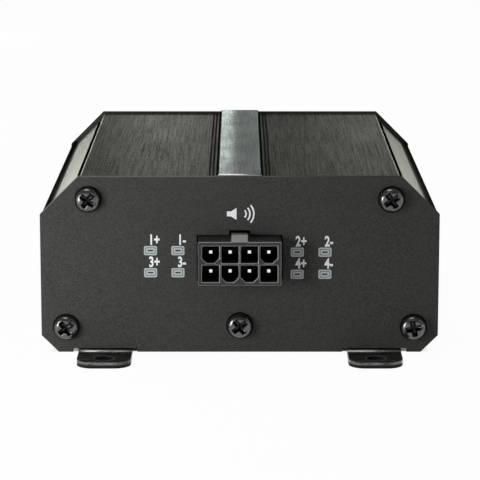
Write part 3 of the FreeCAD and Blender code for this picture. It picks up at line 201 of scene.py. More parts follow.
def anodised_shell():
    """Black brushed extrusion; the recessed 45 degree panels at the shoulders are machined bright. Light and shade
    are partly painted: painted shade on the ledges, lips, grooves and output end, a painted highlight along the
    top's edges, and panels painted darker towards the rear.
    """
    paint = Paint("anodised_shell", (0.04,) * 3, 0.4, metallic=1.0, Anisotropic=0.5,
                  Specular_IOR_Level=0.0, Specular_Tint=(0.48, 0.49, 0.43, 1))
    paint.grain_along_y()
    grain = paint.noise((0.34 * MM, 26 * MM, 0.34 * MM), detail=4.0, roughness=0.7)
    specks = paint.noise((0.28 * MM, 2.2 * MM, 0.28 * MM), detail=2.0, roughness=0.6, shift=7.0)
    patches = paint.noise((9 * MM, 30 * MM, 9 * MM), detail=2.0, shift=3.0)
    sideways = paint.unsigned("Object", "X")
    along = paint.axis("Object", "Y")
    upwards = paint.axis("Normal", "Z")

    # The profile's features, each from one distance to another off the shell's middle.
    low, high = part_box("heatsink_shell")
    strip_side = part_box("trim_strip")[1].x
    groove = strip_side + 0.36 * MM, strip_side + 0.42 * MM
    second_rib = strip_side + 1.1 * MM, strip_side + 1.7 * MM
    panel = high.x - 6.72 * MM, high.x - 0.68 * MM
    edge_highlight_band = panel[0] - 1.85 * MM, panel[0] - 1.45 * MM
    ledge = panel[0] - 1.35 * MM, panel[0]

    on_panel = paint.product(paint.band(sideways, *panel, CRISP), paint.band(upwards, 0.6, 0.8, 0.03))
    below_top = paint.remap(paint.axis("Object", "Z"), high.z - 0.5 * MM, high.z - 0.8 * MM)
    on_ledge = paint.product(paint.band(sideways, *ledge, CRISP), below_top)
    beyond_panel = paint.remap(sideways, panel[1], panel[1] + 0.03 * MM)
    on_lip = paint.product(beyond_panel, paint.remap(upwards, 0.05, 0.2))
    in_groove = paint.remap(sideways, groove[1], groove[0])
    output_end = paint.remap(along, low.y + 1.2 * MM, low.y + 1.0 * MM)
    # Painted shade, in near black: the ledges below the top, the lips beyond the panels, the grooves beside the
    # strip and the band at the output end, where the shell meets the plate.
    painted_shade = paint.greatest(on_ledge, on_lip, in_groove, output_end)

    dark = paint.mix(paint.remap(grain, 0.4, 0.6), olive(0.015), olive(0.11))
    dark = paint.mix(paint.remap(specks, 0.45, 0.65, 0.0, 0.5), dark, olive(0.17))
    dark = paint.mix(paint.remap(specks, 0.5, 0.35, 0.0, 0.5), dark, olive(0.008))
    dark = paint.mix(paint.remap(patches, 0.35, 0.7, 0.0, 0.25), dark, olive(0.03))
    # A painted highlight: a pale band along the top's edges, beside the ledges.
    dark = paint.mix(paint.product(paint.band(sideways, *edge_highlight_band, 0.05 * MM), 0.6), dark, olive(0.3))
    brown_black = (0.012, 0.008, 0.006, 1)
    dark = paint.mix(paint.product(paint.band(sideways, *second_rib, 0.05 * MM), 0.8), dark, brown_black)
    bright = paint.mix(paint.remap(grain, 0.34, 0.66), grey(0.5), grey(0.78))
    # Painted shade: the bright panels are painted darker towards the rear.
    bright = paint.mix(paint.remap(along, low.y, high.y, 0.0, 0.85), bright, grey(0.08))
    paint.drive("Base Color", paint.mix(painted_shade, paint.mix(on_panel, dark, bright), grey(0.004)))

    shine = paint.greatest(paint.remap(grain, 0.3, 0.7, 0.46, 0.3), paint.product(on_panel, 0.5))
    paint.drive("Roughness", paint.greatest(shine, paint.product(painted_shade, 0.95)))
    bare = paint.remap(on_panel, 0.0, 1.0, 0.5, 1.0)
    paint.drive("Metallic", paint.product(bare, paint.remap(painted_shade, 0.0, 1.0, 1.0, 0.0)))
    rough = paint.math("ADD", grain, paint.product(specks, 0.7))
    paint.bump(paint.mix_value(on_panel, rough, paint.product(grain, 0.2)), 0.018 * MM, 0.6)
    return paint.material


def satin_strip():
    """Brushed strip, slightly crowned across its width, with rough edges painted dark as painted shade, and its
    end that faces -Y painted paler as a painted highlight.
    """
    paint = Paint("satin_strip", (0.5,) * 3, 0.22, metallic=1.0, Specular_Tint=(0.42, 0.455, 0.435, 1))
    streaks = paint.noise((0.3 * MM, 18 * MM, 0.3 * MM), detail=4.0, roughness=0.6)
    clouds = paint.noise((6 * MM, 11 * MM, 6 * MM), detail=2.0, shift=5.0)
    base = paint.mix(paint.remap(streaks, 0.35, 0.65), grey(0.4, -0.02), grey(0.68, -0.02))
    base = paint.mix(paint.remap(clouds, 0.4, 0.65, 0.0, 0.5), base, grey(0.32, -0.02))
    # Faces that don't face up: a painted highlight on the end that faces -Y, and painted shade in dark grey on the
    # sides and the other end.
    facing_up = paint.remap(paint.axis("Normal", "Z"), 0.9, 0.97)
    edge = paint.remap(paint.axis("Normal", "Y"), -0.5, -0.2, 0.4, 0.03)
    paint.drive("Base Color", paint.mix(facing_up, paint.vector(edge, edge, edge), base))

    cloudy = paint.remap(clouds, 0.35, 0.65, 0.0, 0.05)
    shine = paint.math("ADD", paint.remap(streaks, 0.3, 0.7, 0.27, 0.2), cloudy)
    on_sides = paint.remap(paint.unsigned("Normal", "X"), 0.15, 0.4)
    paint.drive("Roughness", paint.mix_value(on_sides, shine, 0.85))

    half_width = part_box("trim_strip")[1].x
    edge_slope = 0.18                  # of the crown, where it meets the strip's sides
    sideways = paint.axis("Object", "X")
    crown = paint.product(sideways, sideways, -edge_slope / 2 / half_width)
    paint.bump(paint.math("ADD", crown, paint.product(streaks, 0.0015 * MM)), 1.0)
    return paint.material


def textured_black():
    """Fine-textured powder coat of the end plates, with a painted highlight along the output end's upper edges,
    stronger to the left.
    """
    paint = Paint("textured_black", (0.045,) * 3, 0.5, Specular_IOR_Level=0.0,
                  Specular_Tint=(0.7, 0.7, 0.68, 1))
    grains = paint.noise((0.3 * MM,) * 3, detail=4.0, roughness=0.7)
    clouds = paint.noise((14 * MM,) * 3, detail=2.0, shift=2.0)
    sideways = paint.unsigned("Object", "X")
    along = paint.axis("Object", "Y")
    height = paint.axis("Object", "Z")
    upwards = paint.axis("Normal", "Z")
    output_end = paint.remap(along, 1 * MM, -1 * MM)
    low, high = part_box("input_end_plate")

    base = paint.mix(paint.remap(grains, 0.38, 0.62), grey(0.034, 0.025), grey(0.068, 0.025))
    base = paint.mix(paint.remap(clouds, 0.3, 0.7, 0.0, 0.4), base, grey(0.054, 0.02))
    # Painted highlight: the output plate's upward-facing edges are painted paler, more so to the left.
    highlight_to_left = paint.remap(paint.axis("Object", "X"), -10 * MM, 30 * MM, 0.95, 0.0)
    painted_edge_highlight = paint.product(paint.remap(upwards, 0.15, 0.5), output_end, highlight_to_left)
    base = paint.mix(painted_edge_highlight, base, grey(0.2, 0.03))
    # Downward faces: painted shade in near black along the bottom edge, and a painted highlight in paler grey on
    # those higher up.
    under = paint.remap(height, low.z + 0.3 * MM, low.z + 0.5 * MM, 0.006, 0.16)
    base = paint.mix(paint.remap(upwards, -0.15, -0.5), base, paint.vector(under, under, under))

    # Painted shade in near black: the input plate's outer rim, a painted shadow ring round each screw head at its
    # seat, and the gap round the output header.
    rim = paint.band(along, high.y - 1.2 * MM, high.y - 0.05 * MM, CRISP)
    mirrored = paint.vector(sideways, 0.0, height)
    seat_radius = 2.96 * MM
    from_screw = 1.0
    for screw_low, screw_high in solids_of("output_plate_screws"):
        middle = (screw_low + screw_high) / 2
        if middle.x > -1 * MM:         # those to the left are these mirrored
            away = paint.distance(mirrored, (middle.x, 0.0, middle.z))
            from_screw = paint.math("MINIMUM", from_screw, away)
    seat = paint.remap(from_screw, seat_radius + 0.06 * MM, seat_radius - 0.06 * MM)
    header_low, header_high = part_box("output_header")
    beside = paint.remap(sideways, header_high.x + 0.34 * MM, header_high.x + 0.26 * MM)
    level = paint.band(height, header_low.z, header_high.z - 0.66 * MM, 0.04 * MM)
    dark = paint.greatest(rim, seat, paint.product(beside, level, output_end))
    paint.drive("Metallic", paint.remap(dark, 0.0, 1.0, 0.15, 0.0))
    paint.drive("Base Color", paint.mix(dark, base, grey(0.004)))
    paint.drive("Roughness", paint.remap(grains, 0.3, 0.7, 0.46, 0.6))
    paint.bump(grains, 0.02 * MM, 0.5)
    return paint.material


def gloss_sheet():
    """Glossy black lacquer of the base and its tabs, with scuffs, painted highlights in bare metal along the
    bends, the tabs' upper edges and the holes' rims, and painted shade in black on the tabs' lower edges and in
    the holes.
    """
    paint = Paint("gloss_black_sheet", (0.012,) * 3, 0.24, Coat_Weight=0.12, Coat_Roughness=0.12,
                  Specular_IOR_Level=0.2)
    orange_peel = paint.noise((0.9 * MM,) * 3, detail=2.0)
    scuffs = paint.noise((5 * MM, 1.2 * MM, 5 * MM), detail=4.0, shift=4.0)
    highlight_patches = paint.noise((3 * MM, 1.5 * MM, 1.5 * MM), detail=3.0, shift=9.0)
    height = paint.axis("Object", "Z")
    off_middle = {letter: paint.unsigned("Object", letter) for letter in "XY"}
    low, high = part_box("bottom_plate")

    holes = next(mount["dims"] for mount in frame["record"]["mounts"] if mount["kind"] == "bolt_pattern")
    hole_middle = holes["spacing_x_mm"] / 2 * MM, holes["spacing_y_mm"] / 2 * MM, 0.0
    hole_radius = holes["hole_r_mm"] * MM
    from_hole = paint.distance(paint.vector(off_middle["X"], off_middle["Y"], 0.0), hole_middle)

    # Bare metal: real scratches, and as painted highlights the bends, the upper half of the tabs' edges and the
    # rims of the holes.
    endwards = paint.remap(paint.unsigned("Normal", "Y"), 0.15, 0.35)
    bends = paint.product(paint.band(paint.axis("Normal", "Z"), 0.35, 0.93, 0.08), endwards)
    edgewise = paint.remap(paint.unsigned("Normal", "Z"), 0.75, 0.55)
    at_end = paint.remap(off_middle["Y"], high.y - 6 * MM, high.y - 5.5 * MM)
    tab_edge = paint.product(edgewise, at_end)
    upper_half = paint.band(height, low.z + 0.75 * MM, low.z + 1.3 * MM, 0.1 * MM)
    edge_highlight_patches = paint.remap(highlight_patches, 0.38, 0.65, 0.05, 0.75)
    painted_rim_highlight = paint.band(from_hole, hole_radius + 0.08 * MM, hole_radius + 0.4 * MM, 0.06 * MM)
    wear_and_painted_highlight = paint.greatest(paint.product(bends, paint.remap(highlight_patches, 0.3, 0.6, 0.35, 1.0)),
                          paint.product(tab_edge, upper_half, edge_highlight_patches),
                          paint.product(paint.remap(scuffs, 0.55, 0.75), 0.15),
                          paint.product(painted_rim_highlight, 0.35))

    # Painted shade, in black: the lower half of the tabs' edges and the holes' walls.
    lower_half = paint.remap(height, low.z + 0.7 * MM, low.z + 0.5 * MM)
    in_hole = paint.remap(from_hole, hole_radius + 0.04 * MM, hole_radius)
    unlit = paint.greatest(paint.product(tab_edge, lower_half), in_hole)

    lacquer = paint.mix(paint.remap(scuffs, 0.4, 0.75), grey(0.011), grey(0.028, 0.03))
    paint.drive("Base Color", paint.mix(unlit, paint.mix(wear_and_painted_highlight, lacquer, grey(0.3, 0.02)), grey(0.004)))
    paint.drive("Metallic", wear_and_painted_highlight)
    paint.drive("Roughness", paint.mix_value(unlit, paint.remap(scuffs, 0.35, 0.7, 0.2, 0.34), 0.9))
    paint.bump(orange_peel, 0.03 * MM, 0.35)
    return paint.material


def speckled(name, color, roughness, metallic=0.0, size=0.4, contrast=0.25, bump=0.01, stretch=(1, 1, 1),
             **sockets):
    """A material whose colour and roughness vary a little with noise of the given size in mm."""
    paint = Paint(name, color, roughness, metallic, **sockets)
    grains = paint.noise(tuple(size * MM * part for part in stretch), detail=3.0)
    darker = tuple(part * (1 - contrast) for part in color)
    lighter = tuple(min(1.0, part * (1 + contrast)) for part in color)
    paint.drive("Base Color", paint.mix(paint.remap(grains, 0.3, 0.7), (*darker, 1), (*lighter, 1)))
    paint.drive("Roughness", paint.remap(grains, 0.3, 0.7, roughness * 0.88, min(1.0, roughness * 1.12)))
    paint.bump(grains, bump * MM, 0.6)
    return paint.material


def black_screw():
    """Black plated screws: dark grey metal across the heads, with painted shade in full black on their flanks and
    in the recess.
    """
    paint = Paint("black_screw", (0.11,) * 3, 0.2, metallic=0.9, Coat_Weight=0.5, Coat_Roughness=0.08)
    grains = paint.noise((0.3 * MM,) * 3, detail=3.0)
    in_painted_shade = paint.node("Attribute", attribute_name=SCREW_PAINTED_SHADE).outputs["Fac"]
    head_metal = paint.mix(paint.remap(grains, 0.3, 0.7), grey(0.07), grey(0.14))
    # Painted shade: the flanks and the recess are painted full black.
    paint.drive("Base Color", paint.mix(in_painted_shade, head_metal, grey(0.004)))
    paint.drive("Roughness", paint.mix_value(in_painted_shade, paint.remap(grains, 0.3, 0.7, 0.17, 0.26), 0.5))
    paint.bump(grains, 0.004 * MM, 0.6)
    return paint.material


def header_nylon():
    """Black nylon sockets: grey moulded mouths with rims painted paler as a painted highlight, a grey latch,
    painted shade in black inside, and black on top.
    """
    paint = Paint("header_nylon", (0.05,) * 3, 0.42, Specular_IOR_Level=0.4)
    grains = paint.noise((0.35 * MM,) * 3, detail=3.0, roughness=0.65)
    height = paint.axis("Object", "Z")
    endwards = paint.unsigned("Normal", "Y")
    low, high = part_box("output_header")
    half_length = max(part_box("input_header")[1].y, -low.y)

    mouth = paint.mix(paint.remap(grains, 0.35, 0.65), grey(0.009), grey(0.025))
    flanks = paint.mix(paint.remap(grains, 0.45, 0.75), grey(0.003), grey(0.06))
    latch = paint.mix(paint.remap(grains, 0.3, 0.7), grey(0.06), grey(0.13))
    base = paint.mix(paint.remap(endwards, 0.9, 0.96), flanks, mouth)
    on_latch = paint.remap(height, high.z - 0.98 * MM, high.z - 0.9 * MM)
    base = paint.mix(on_latch, base, latch)
    # Painted highlight: the bevelled rims, turned partly to the ends, are painted paler.
    base = paint.mix(paint.band(endwards, 0.15, 0.93, 0.03), base, grey(0.32))
    # Painted shade: the cavities behind the mouths are painted black.
    behind_mouth = paint.remap(paint.unsigned("Object", "Y"), half_length - 0.3 * MM, half_length - 0.6 * MM)
    below_roof = paint.remap(height, high.z - 1.2 * MM, high.z - 1.3 * MM)
    paint.drive("Base Color", paint.mix(paint.product(behind_mouth, below_roof), base, grey(0.003)))
    shine = paint.remap(grains, 0.3, 0.7, 0.36, 0.5)
    paint.drive("Roughness", paint.mix_value(paint.remap(endwards, 0.05, 0.2), 0.85, shine))
    paint.bump(grains, 0.01 * MM, 0.6)
    return paint.material


def tinned_pin():
    """Tin-plated pins, clean on the tips, with the shanks painted dark as painted shade."""
    paint = Paint("tinned_pin", (0.8,) * 3, 0.25, metallic=1.0)
    grains = paint.noise((0.25 * MM,) * 3, detail=3.0)
    tips = paint.remap(paint.unsigned("Normal", "Y"), 0.5, 0.9)
    clean = paint.mix(paint.remap(grains, 0.3, 0.7), grey(0.85), grey(0.97))
    # Painted shade: the shanks are painted dark grey; the tips keep the clean tin.
    paint.drive("Base Color", paint.mix(tips, grey(0.05), clean))
    paint.drive("Roughness", paint.remap(grains, 0.3, 0.7, 0.18, 0.26))
    paint.bump(grains, 0.004 * MM, 0.6)
    return paint.material


def circuit_board():
    """Green solder mask with a faint pattern of tracks and the weave of the laminate."""
    paint = Paint("circuit_board", (0.02, 0.12, 0.05), 0.35, Coat_Weight=0.3, Coat_Roughness=0.2)
    pattern = paint.node("TexBrick", {"Vector": paint.coordinates.outputs["Object"], "Scale": 180.0,
                                      "Mortar Size": 0.035, "Color1": (1, 1, 1, 1),
                                      "Color2": (0.8, 0.8, 0.8, 1), "Mortar": (0, 0, 0, 1)})
    tracks = pattern.outputs["Fac"]
    weave = paint.noise((0.5 * MM,) * 3, detail=1.0)
    mask = paint.mix(tracks, (0.014, 0.1, 0.04, 1), (0.03, 0.17, 0.08, 1))
    woven = paint.mix(paint.remap(weave, 0.3, 0.7, 0.0, 0.3), mask, (0.01, 0.07, 0.03, 1))
    paint.drive("Base Color", woven)
    paint.bump(tracks, 0.03 * MM, 0.5)
    return paint.material


MATERIALS = {
    "black_anodised": anodised_shell(),
    "satin_strip": satin_strip(),
    "textured_black": textured_black(),
    "gloss_black_sheet": gloss_sheet(),
    "black_screw": black_screw(),
    "zinc_screw": speckled("zinc_screw", (0.62, 0.62, 0.58), 0.3, metallic=1.0, size=0.3, bump=0.004),
    "header_nylon": header_nylon(),
    "tinned_pin": tinned_pin(),
    "knob_plastic": speckled("knob_plastic", (0.03, 0.03, 0.032), 0.45, size=0.25, contrast=0.2),
    "shaft_steel": speckled("shaft_steel", (0.55, 0.55, 0.54), 0.28, metallic=1.0, size=0.2,
                            stretch=(1, 12, 1), bump=0.003),
    "control_case": speckled("control_case", (0.05, 0.12, 0.22), 0.5, size=0.4),
    "switch_case": speckled("switch_case", (0.6, 0.6, 0.57), 0.32, metallic=1.0, size=0.5, bump=0.004),
    "slider_plastic": speckled("slider_plastic", (0.03, 0.03, 0.032), 0.4, size=0.2),
    "lamp_lens": speckled("lamp_lens", (0.1, 0.42, 0.14), 0.25, size=0.5, contrast=0.12, bump=0.003,
                          Subsurface_Weight=0.4, Transmission_Weight=0.2),
    "holder_plastic": speckled("holder_plastic", (0.02, 0.02, 0.02), 0.5, size=0.3),
    "circuit_board": circuit_board(),
    "chip_resin": speckled("chip_resin", (0.022, 0.022, 0.024), 0.55, size=0.18, contrast=0.25),
    "pad_rubber": speckled("pad_rubber", (0.3, 0.36, 0.4), 0.7, size=0.3, contrast=0.15),
    "ferrite": speckled("ferrite", (0.05, 0.05, 0.055), 0.5, size=0.25, contrast=0.3),
    "film_case": speckled("film_case", (0.45, 0.05, 0.03), 0.3, size=0.6, contrast=0.12),
    "can_aluminium": speckled("can_aluminium", (0.035, 0.035, 0.05), 0.3, size=0.5, contrast=0.2),
    "copper_wire": speckled("copper_wire", (0.7, 0.3, 0.14), 0.25, metallic=1.0, size=0.4, contrast=0.15,
                            bump=0.003),
    "print_white": speckled("print_white", (0.8, 0.82, 0.82), 0.55, size=0.12, contrast=0.07, bump=0.002),
    "print_grey": speckled("print_grey", (0.42, 0.46, 0.46), 0.55, size=0.12, contrast=0.1, bump=0.002),
}

for part in frame["record"]["subparts"]:
    mesh = NODES[part["node"]].data
    mesh.materials.clear()
    mesh.materials.append(MATERIALS[part["material_slot"]])


# ---------------------------------------------------------------- mesh helpers

def in_scene(name, data):
    """A new object with the given data, linked to the scene."""
    thing = bpy.data.objects.new(name, data)
    bpy.context.scene.collection.objects.link(thing)
    return thing


def new_piece(name, mesh, body, slot, material, *replaced):
    """Add a finished piece of the object, which rides on a body."""
    piece = in_scene(name, mesh)
    mesh.materials.clear()
    mesh.materials.append(MATERIALS[material])
    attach(piece, body)
    if replaced:
        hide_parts(*replaced)


def soften_edges(node, width, segments=2, smooth=False):
    """Break the hard edges of a CAD node's mesh with a small rounded bevel."""
    piece = NODES[node]
    weld = piece.modifiers.new("weld", "WELD")
    weld.merge_threshold = 0.001 * MM
    flats = piece.modifiers.new("flats", "DECIMATE")
    flats.decimate_type = "DISSOLVE"
    flats.angle_limit = math.radians(0.5)
    bevel = piece.modifiers.new("bevel", "BEVEL")
    bevel.width = width
    bevel.segments = segments
    bevel.limit_method = "ANGLE"
    bevel.angle_limit = math.radians(35)
    bevel.harden_normals = smooth
    for face in piece.data.polygons:
        face.use_smooth = smooth


# ---------------------------------------------------------------- screws

class Screw:
    """A pan-head machine screw with a cross recess; its head stands on z = 0 and its shank goes down."""

    shank_radius = 1.45 * MM
    thread_pitch = 0.5 * MM
    thread_depth = 0.22 * MM
    crown_shares = (1.0, 0.985, 0.95, 0.9, 0.83, 0.75, 0.68)       # rings on the head's top, of its radius

    def __init__(self, head_radius, head_height, length):
        self.head_radius = head_radius
        self.head_height = head_height
        self.length = length
        self.arm = head_radius * 0.72
        self.half_width = head_radius * 0.23
        self.angles = self.recess_angles()

    def recess_angles(self):
        """Angles round the head that meet every corner of the cross."""
        tip = math.atan2(self.half_width, self.arm)
        inside = math.radians(45)
        quarter = [0, tip * 0.6, tip * 0.93, tip * 1.08, tip * 1.5, tip * 2.1, inside * 0.86, inside]
        quarter += [math.pi / 2 - angle for angle in reversed(quarter[1:-1])]
        return [turn * math.pi / 2 + angle for turn in range(4) for angle in quarter]

    def cross_radius(self, angle):
        """Distance from the middle to the outline of the cross, with rounded tips and inner corners."""
        along = abs(math.cos(angle)), abs(math.sin(angle))
        long, short = max(along), max(min(along), 1e-6)
        tip = self.arm / long
        side = self.half_width / short
        rounding = 6
        return (tip ** -rounding + side ** -rounding) ** (-1 / rounding)

    def crown(self, radius):
        """Height of the head's top at a distance from its middle."""
        share = min(1.0, radius / self.head_radius)
        return self.head_height * (0.35 + 0.65 * math.sqrt(max(0.0, 1 - share ** 4)))

    def rings(self):
        """Pairs of radius and height for the rings from the shank's end to the edge of the recess."""
        root = self.shank_radius - self.thread_depth
        rings = [(root * 0.8, -self.length)]
        for turn in range(int(self.length / self.thread_pitch)):
            z = -self.length + 0.35 * MM + turn * self.thread_pitch
            rings.append((root, z))
            rings.append((self.shank_radius, z + self.thread_pitch * 0.5))
        rings.append((self.shank_radius, 0.0))
        rings.append((self.head_radius * 0.96, 0.0))
        rings.append((self.head_radius, 0.08 * MM))
        for share in self.crown_shares:
            rings.append((self.head_radius * share, self.crown(self.head_radius * share)))
        return rings

    def add_to(self, mesh, place):
        """Add the screw to a bmesh at a place given as a matrix."""
        loops = []
        for radius, z in self.rings():
            loops.append([Vector((radius * math.cos(a), radius * math.sin(a), z)) for a in self.angles])
        edge = [self.cross_radius(a) for a in self.angles]
        depth = self.head_height * 0.72
        recess = ((1.06, 0.0), (1.0, 0.03 * MM), (0.9, depth * 0.72), (0.62, depth))
        for scale, lower in recess:
            loops.append([Vector((scale * r * math.cos(a), scale * r * math.sin(a),
                                  self.crown(r * scale) - lower)) for r, a in zip(edge, self.angles)])
        rows = [[mesh.verts.new(place @ point) for point in loop] for loop in loops]
        end = mesh.verts.new(place @ Vector((0, 0, -self.length)))
        floor = mesh.verts.new(place @ Vector((0, 0, self.crown(0) - depth * 1.15)))

        # Painted shade: the recess and the flanks below the crown are marked to be painted full black.
        screw_painted_shade = mesh.verts.layers.float.get(SCREW_PAINTED_SHADE)
        in_recess = rows[1 - len(recess):]
        below_crown = rows[:-len(recess) - len(self.crown_shares)]
        for vertex in [floor, *(vertex for row in in_recess + below_crown for vertex in row)]:
            vertex[screw_painted_shade] = 1.0

        following = [*range(1, len(self.angles)), 0]
        for lower, upper in zip(rows, rows[1:]):
            for n, after in enumerate(following):
                face = mesh.faces.new((lower[n], lower[after], upper[after], upper[n]))
                face.smooth = True
        for n, after in enumerate(following):
            mesh.faces.new((end, rows[0][after], rows[0][n]))
            mesh.faces.new((floor, rows[-1][n], rows[-1][after]))
        for row in in_recess[:2]:
            for n, after in enumerate(following):
                mesh.edges.get((row[n], row[after])).smooth = False


def screw_group(node, screw, outward, face, spins):
    """Put detailed screws in place of a CAD node's plain ones.

    The face is where the heads meet what they hold, and the spins turn each cross by so many degrees."""
    mesh = bmesh.new()
    mesh.verts.layers.float.new(SCREW_PAINTED_SHADE)
    turn = Vector((0, 0, 1)).rotation_difference(outward).to_matrix().to_4x4()
    axis = max(range(3), key=lambda n: abs(outward[n]))
    for (low, high), spin in zip(solids_of(node), spins):
        middle = (low + high) / 2
        middle[axis] = face
        screw.add_to(mesh, Matrix.Translation(middle) @ turn @ Matrix.Rotation(math.radians(spin), 4, "Z"))
    data = bpy.data.meshes.new(node + "_detailed")
    mesh.normal_update()
    mesh.to_mesh(data)
    mesh.free()
    slot = next(part["material_slot"] for part in frame["record"]["subparts"] if part["node"] == node)
    new_piece(node + "_detailed", data, "chassis", slot, slot, node)


plate_low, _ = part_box("output_end_plate")
_, plate_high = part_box("input_end_plate")
screw_low, screw_high = solids_of("output_plate_screws")[0]
head_radius = (screw_high.x - screw_low.x) / 2
head_height = plate_low.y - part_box("output_plate_screws")[0].y
plate_screw = Screw(head_radius, head_height, length=8 * MM)
screw_group("output_plate_screws", plate_screw, Vector((0, -1, 0)), plate_low.y, (38, 12, 38, 52, 33))
screw_group("input_plate_screws", plate_screw, Vector((0, 1, 0)), plate_high.y, (8, 31, 50, 17, 66))
board_screw = Screw(head_radius, head_height, length=10 * MM)
board_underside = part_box("main_board")[0].z
screw_group("board_screws", board_screw, Vector((0, 0, -1)), board_underside, (20, 44, 71))
low_head = 1.2 * MM
base_screw = Screw(head_radius, low_head, length=5 * MM)
base_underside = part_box("base_screws")[0].z + low_head
screw_group("base_screws", base_screw, Vector((0, 0, -1)), base_underside, (15, 40, 64, 3))

for plate in ("output_end_plate", "input_end_plate"):
    soften_edges(plate, 0.16 * MM, segments=3)
soften_edges("heatsink_shell", 0.1 * MM)
soften_edges("trim_strip", 0.08 * MM)
soften_edges("bottom_plate", 0.35 * MM, segments=4, smooth=True)
for header in ("output_header", "input_header", "power_header"):
    soften_edges(header, 0.15 * MM)
for knob in ("front_gain_knob", "rear_gain_knob"):
    soften_edges(knob, 0.15 * MM, segments=3, smooth=True)
soften_edges("status_led", 0.1 * MM, smooth=True)
soften_edges("crossover_slider", 0.1 * MM)


# ---------------------------------------------------------------- printed marks

PRINT = 0.02 * MM      # thickness of the print


def outline_curve(name, loops, place):
    """A flat print from closed loops of points in mm; loops inside each other alternate print and gap."""
    curve = bpy.data.curves.new(name, "CURVE")
    curve.dimensions = "2D"
    curve.fill_mode = "BOTH"
    curve.extrude = PRINT / 2
    for loop in loops:
        spline = curve.splines.new("POLY")
        spline.points.add(len(loop) - 1)
        for point, (x, y) in zip(spline.points, loop):
            point.co = (x * MM, y * MM, 0, 1)
        spline.use_cyclic_u = True
    return curve_mesh(curve, place)


def curve_mesh(curve, place):
    """The mesh of a flat curve or text, laid at a place given as a matrix."""
    holder = in_scene("holder", curve)
    bpy.context.view_layer.update()
    mesh = bpy.data.meshes.new_from_object(holder.evaluated_get(bpy.context.evaluated_depsgraph_get()))
    bpy.data.objects.remove(holder)
    mesh.transform(place)
    return mesh


def text_mesh(words, height, place):
    """Plain figures and signs, bold and narrow, of the given cap height in mm, centred on the place."""
    cap_share, narrowing, boldness = 0.73, 0.72, 0.03
    font = bpy.data.curves.new("figures", "FONT")
    font.body = words
    font.size = height * MM / cap_share
    font.align_x = "CENTER"
    font.align_y = "CENTER"
    font.offset = boldness * font.size
    font.extrude = PRINT / 2
    return curve_mesh(font, place @ Matrix.Diagonal((narrowing, 1, 1, 1)))


def rounded_rectangle(width, height, radius):
    """A rectangle round the middle, its corners rounded."""
    steps = 4
    points = []
    for number, (x_sign, y_sign) in enumerate(((1, 1), (-1, 1), (-1, -1), (1, -1))):
        for step in range(steps + 1):
            angle = math.pi / 2 * (number + step / steps)
            points.append((x_sign * (width / 2 - radius) + radius * math.cos(angle),
                           y_sign * (height / 2 - radius) + radius * math.sin(angle)))
    return points


def arc_band(inner, outer, start, end, steps=12):
    """A curved bar between two radii and two angles in degrees."""
    angles = [math.radians(start + (end - start) * step / steps) for step in range(steps + 1)]
    points = [(outer * math.cos(a), outer * math.sin(a)) for a in angles]
    return points + [(inner * math.cos(a), inner * math.sin(a)) for a in reversed(angles)]


def joined(name, meshes, body, slot, material):
    """Add one piece made of several meshes."""
    together = bmesh.new()
    for mesh in meshes:
        together.from_mesh(mesh)
        bpy.data.meshes.remove(mesh)
    data = bpy.data.meshes.new(name)
    together.to_mesh(data)
    together.free()
    new_piece(name, data, body, slot, material)


def on_end(x, z, end="output", face=None):
    """Placement on an end plate's outer face, for an x to the right as seen from outside and a z above the
    ground, both in mm. At the input end the print may lie on a face further out, such as a knob's."""
    upright = Matrix.Rotation(math.radians(90), 4, "X")
    if end == "output":
        return Matrix.Translation((x * MM, plate_low.y - PRINT / 2, z * MM)) @ upright
    turn = Matrix.Rotation(math.radians(180), 4, "Z")
    outer_face = plate_high.y if face is None else face
    return Matrix.Translation((-x * MM, outer_face + PRINT / 2, z * MM)) @ turn @ upright


TERMINAL_ICON = [
    rounded_rectangle(2.85, 2.05, 0.35),
    rounded_rectangle(2.2, 1.4, 0.25),
    rounded_rectangle(1.95, 1.15, 0.2),
    rounded_rectangle(1.2, 0.36, 0.1),
]


def output_marks():
    """Channel figures, terminal icons and a loudspeaker sign round the output header."""
    plate_bottom = plate_low.z / MM
    row_spacing = 4.93
    figure_height = 2.3
    figures, icons = [], []
    for columns, channels, top in (((-18.65, -12.65), "13", 25.05), ((13.4, 19.45), "24", 24.7)):
        for row, channel in enumerate(channels):
            z = plate_bottom + top - row * row_spacing
            for x, sign in zip(columns, "+-"):
                figures.append(text_mesh(channel + sign, figure_height, on_end(x, z)))
                icons.append(outline_curve("icon", TERMINAL_ICON, on_end(x - 0.85, z - figure_height)))
    speaker = [[(-3.0, -0.55), (-2.1, -0.55), (-0.9, -1.35), (-0.9, 1.35), (-2.1, 0.55), (-3.0, 0.55)]]
    speaker += [arc_band(radius, radius + 0.34, -42, 42) for radius in (1.0, 1.85, 2.7)]
    figures.append(outline_curve("speaker", speaker, on_end(0.2, plate_bottom + 30.9)))
    joined("output_figures", figures, "chassis", "textured_black", "print_white")
    joined("output_icons", icons, "chassis", "textured_black", "print_grey")


def seen_from_input(node):
    """Half width, half height and middle of a node in mm, with x to the right as seen from the input end."""
    low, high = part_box(node)
    middle = (low + high) / 2
    return (high.x - low.x) / 2 / MM, (high.z - low.z) / 2 / MM, -middle.x / MM, middle.z / MM


def bar(angle, inner, outer, width):
    """A straight stroke that points away from the middle; the angle is in degrees clockwise from the top."""
    turn = math.radians(90 - angle)
    along = math.cos(turn), math.sin(turn)
    corners = ((inner, -width / 2), (outer, -width / 2), (outer, width / 2), (inner, width / 2))
    return [(r * along[0] - side * along[1], r * along[1] + side * along[0]) for r, side in corners]


# An arrowhead that straddles the end of the driver slot.
ARROWHEAD = [(0, 3.4), (1.7, 1.75), (1.25, 1.4), (0.52, 2.2), (0.52, 2.78),
             (-0.52, 2.78), (-0.52, 2.2), (-1.25, 1.4), (-1.7, 1.75)]

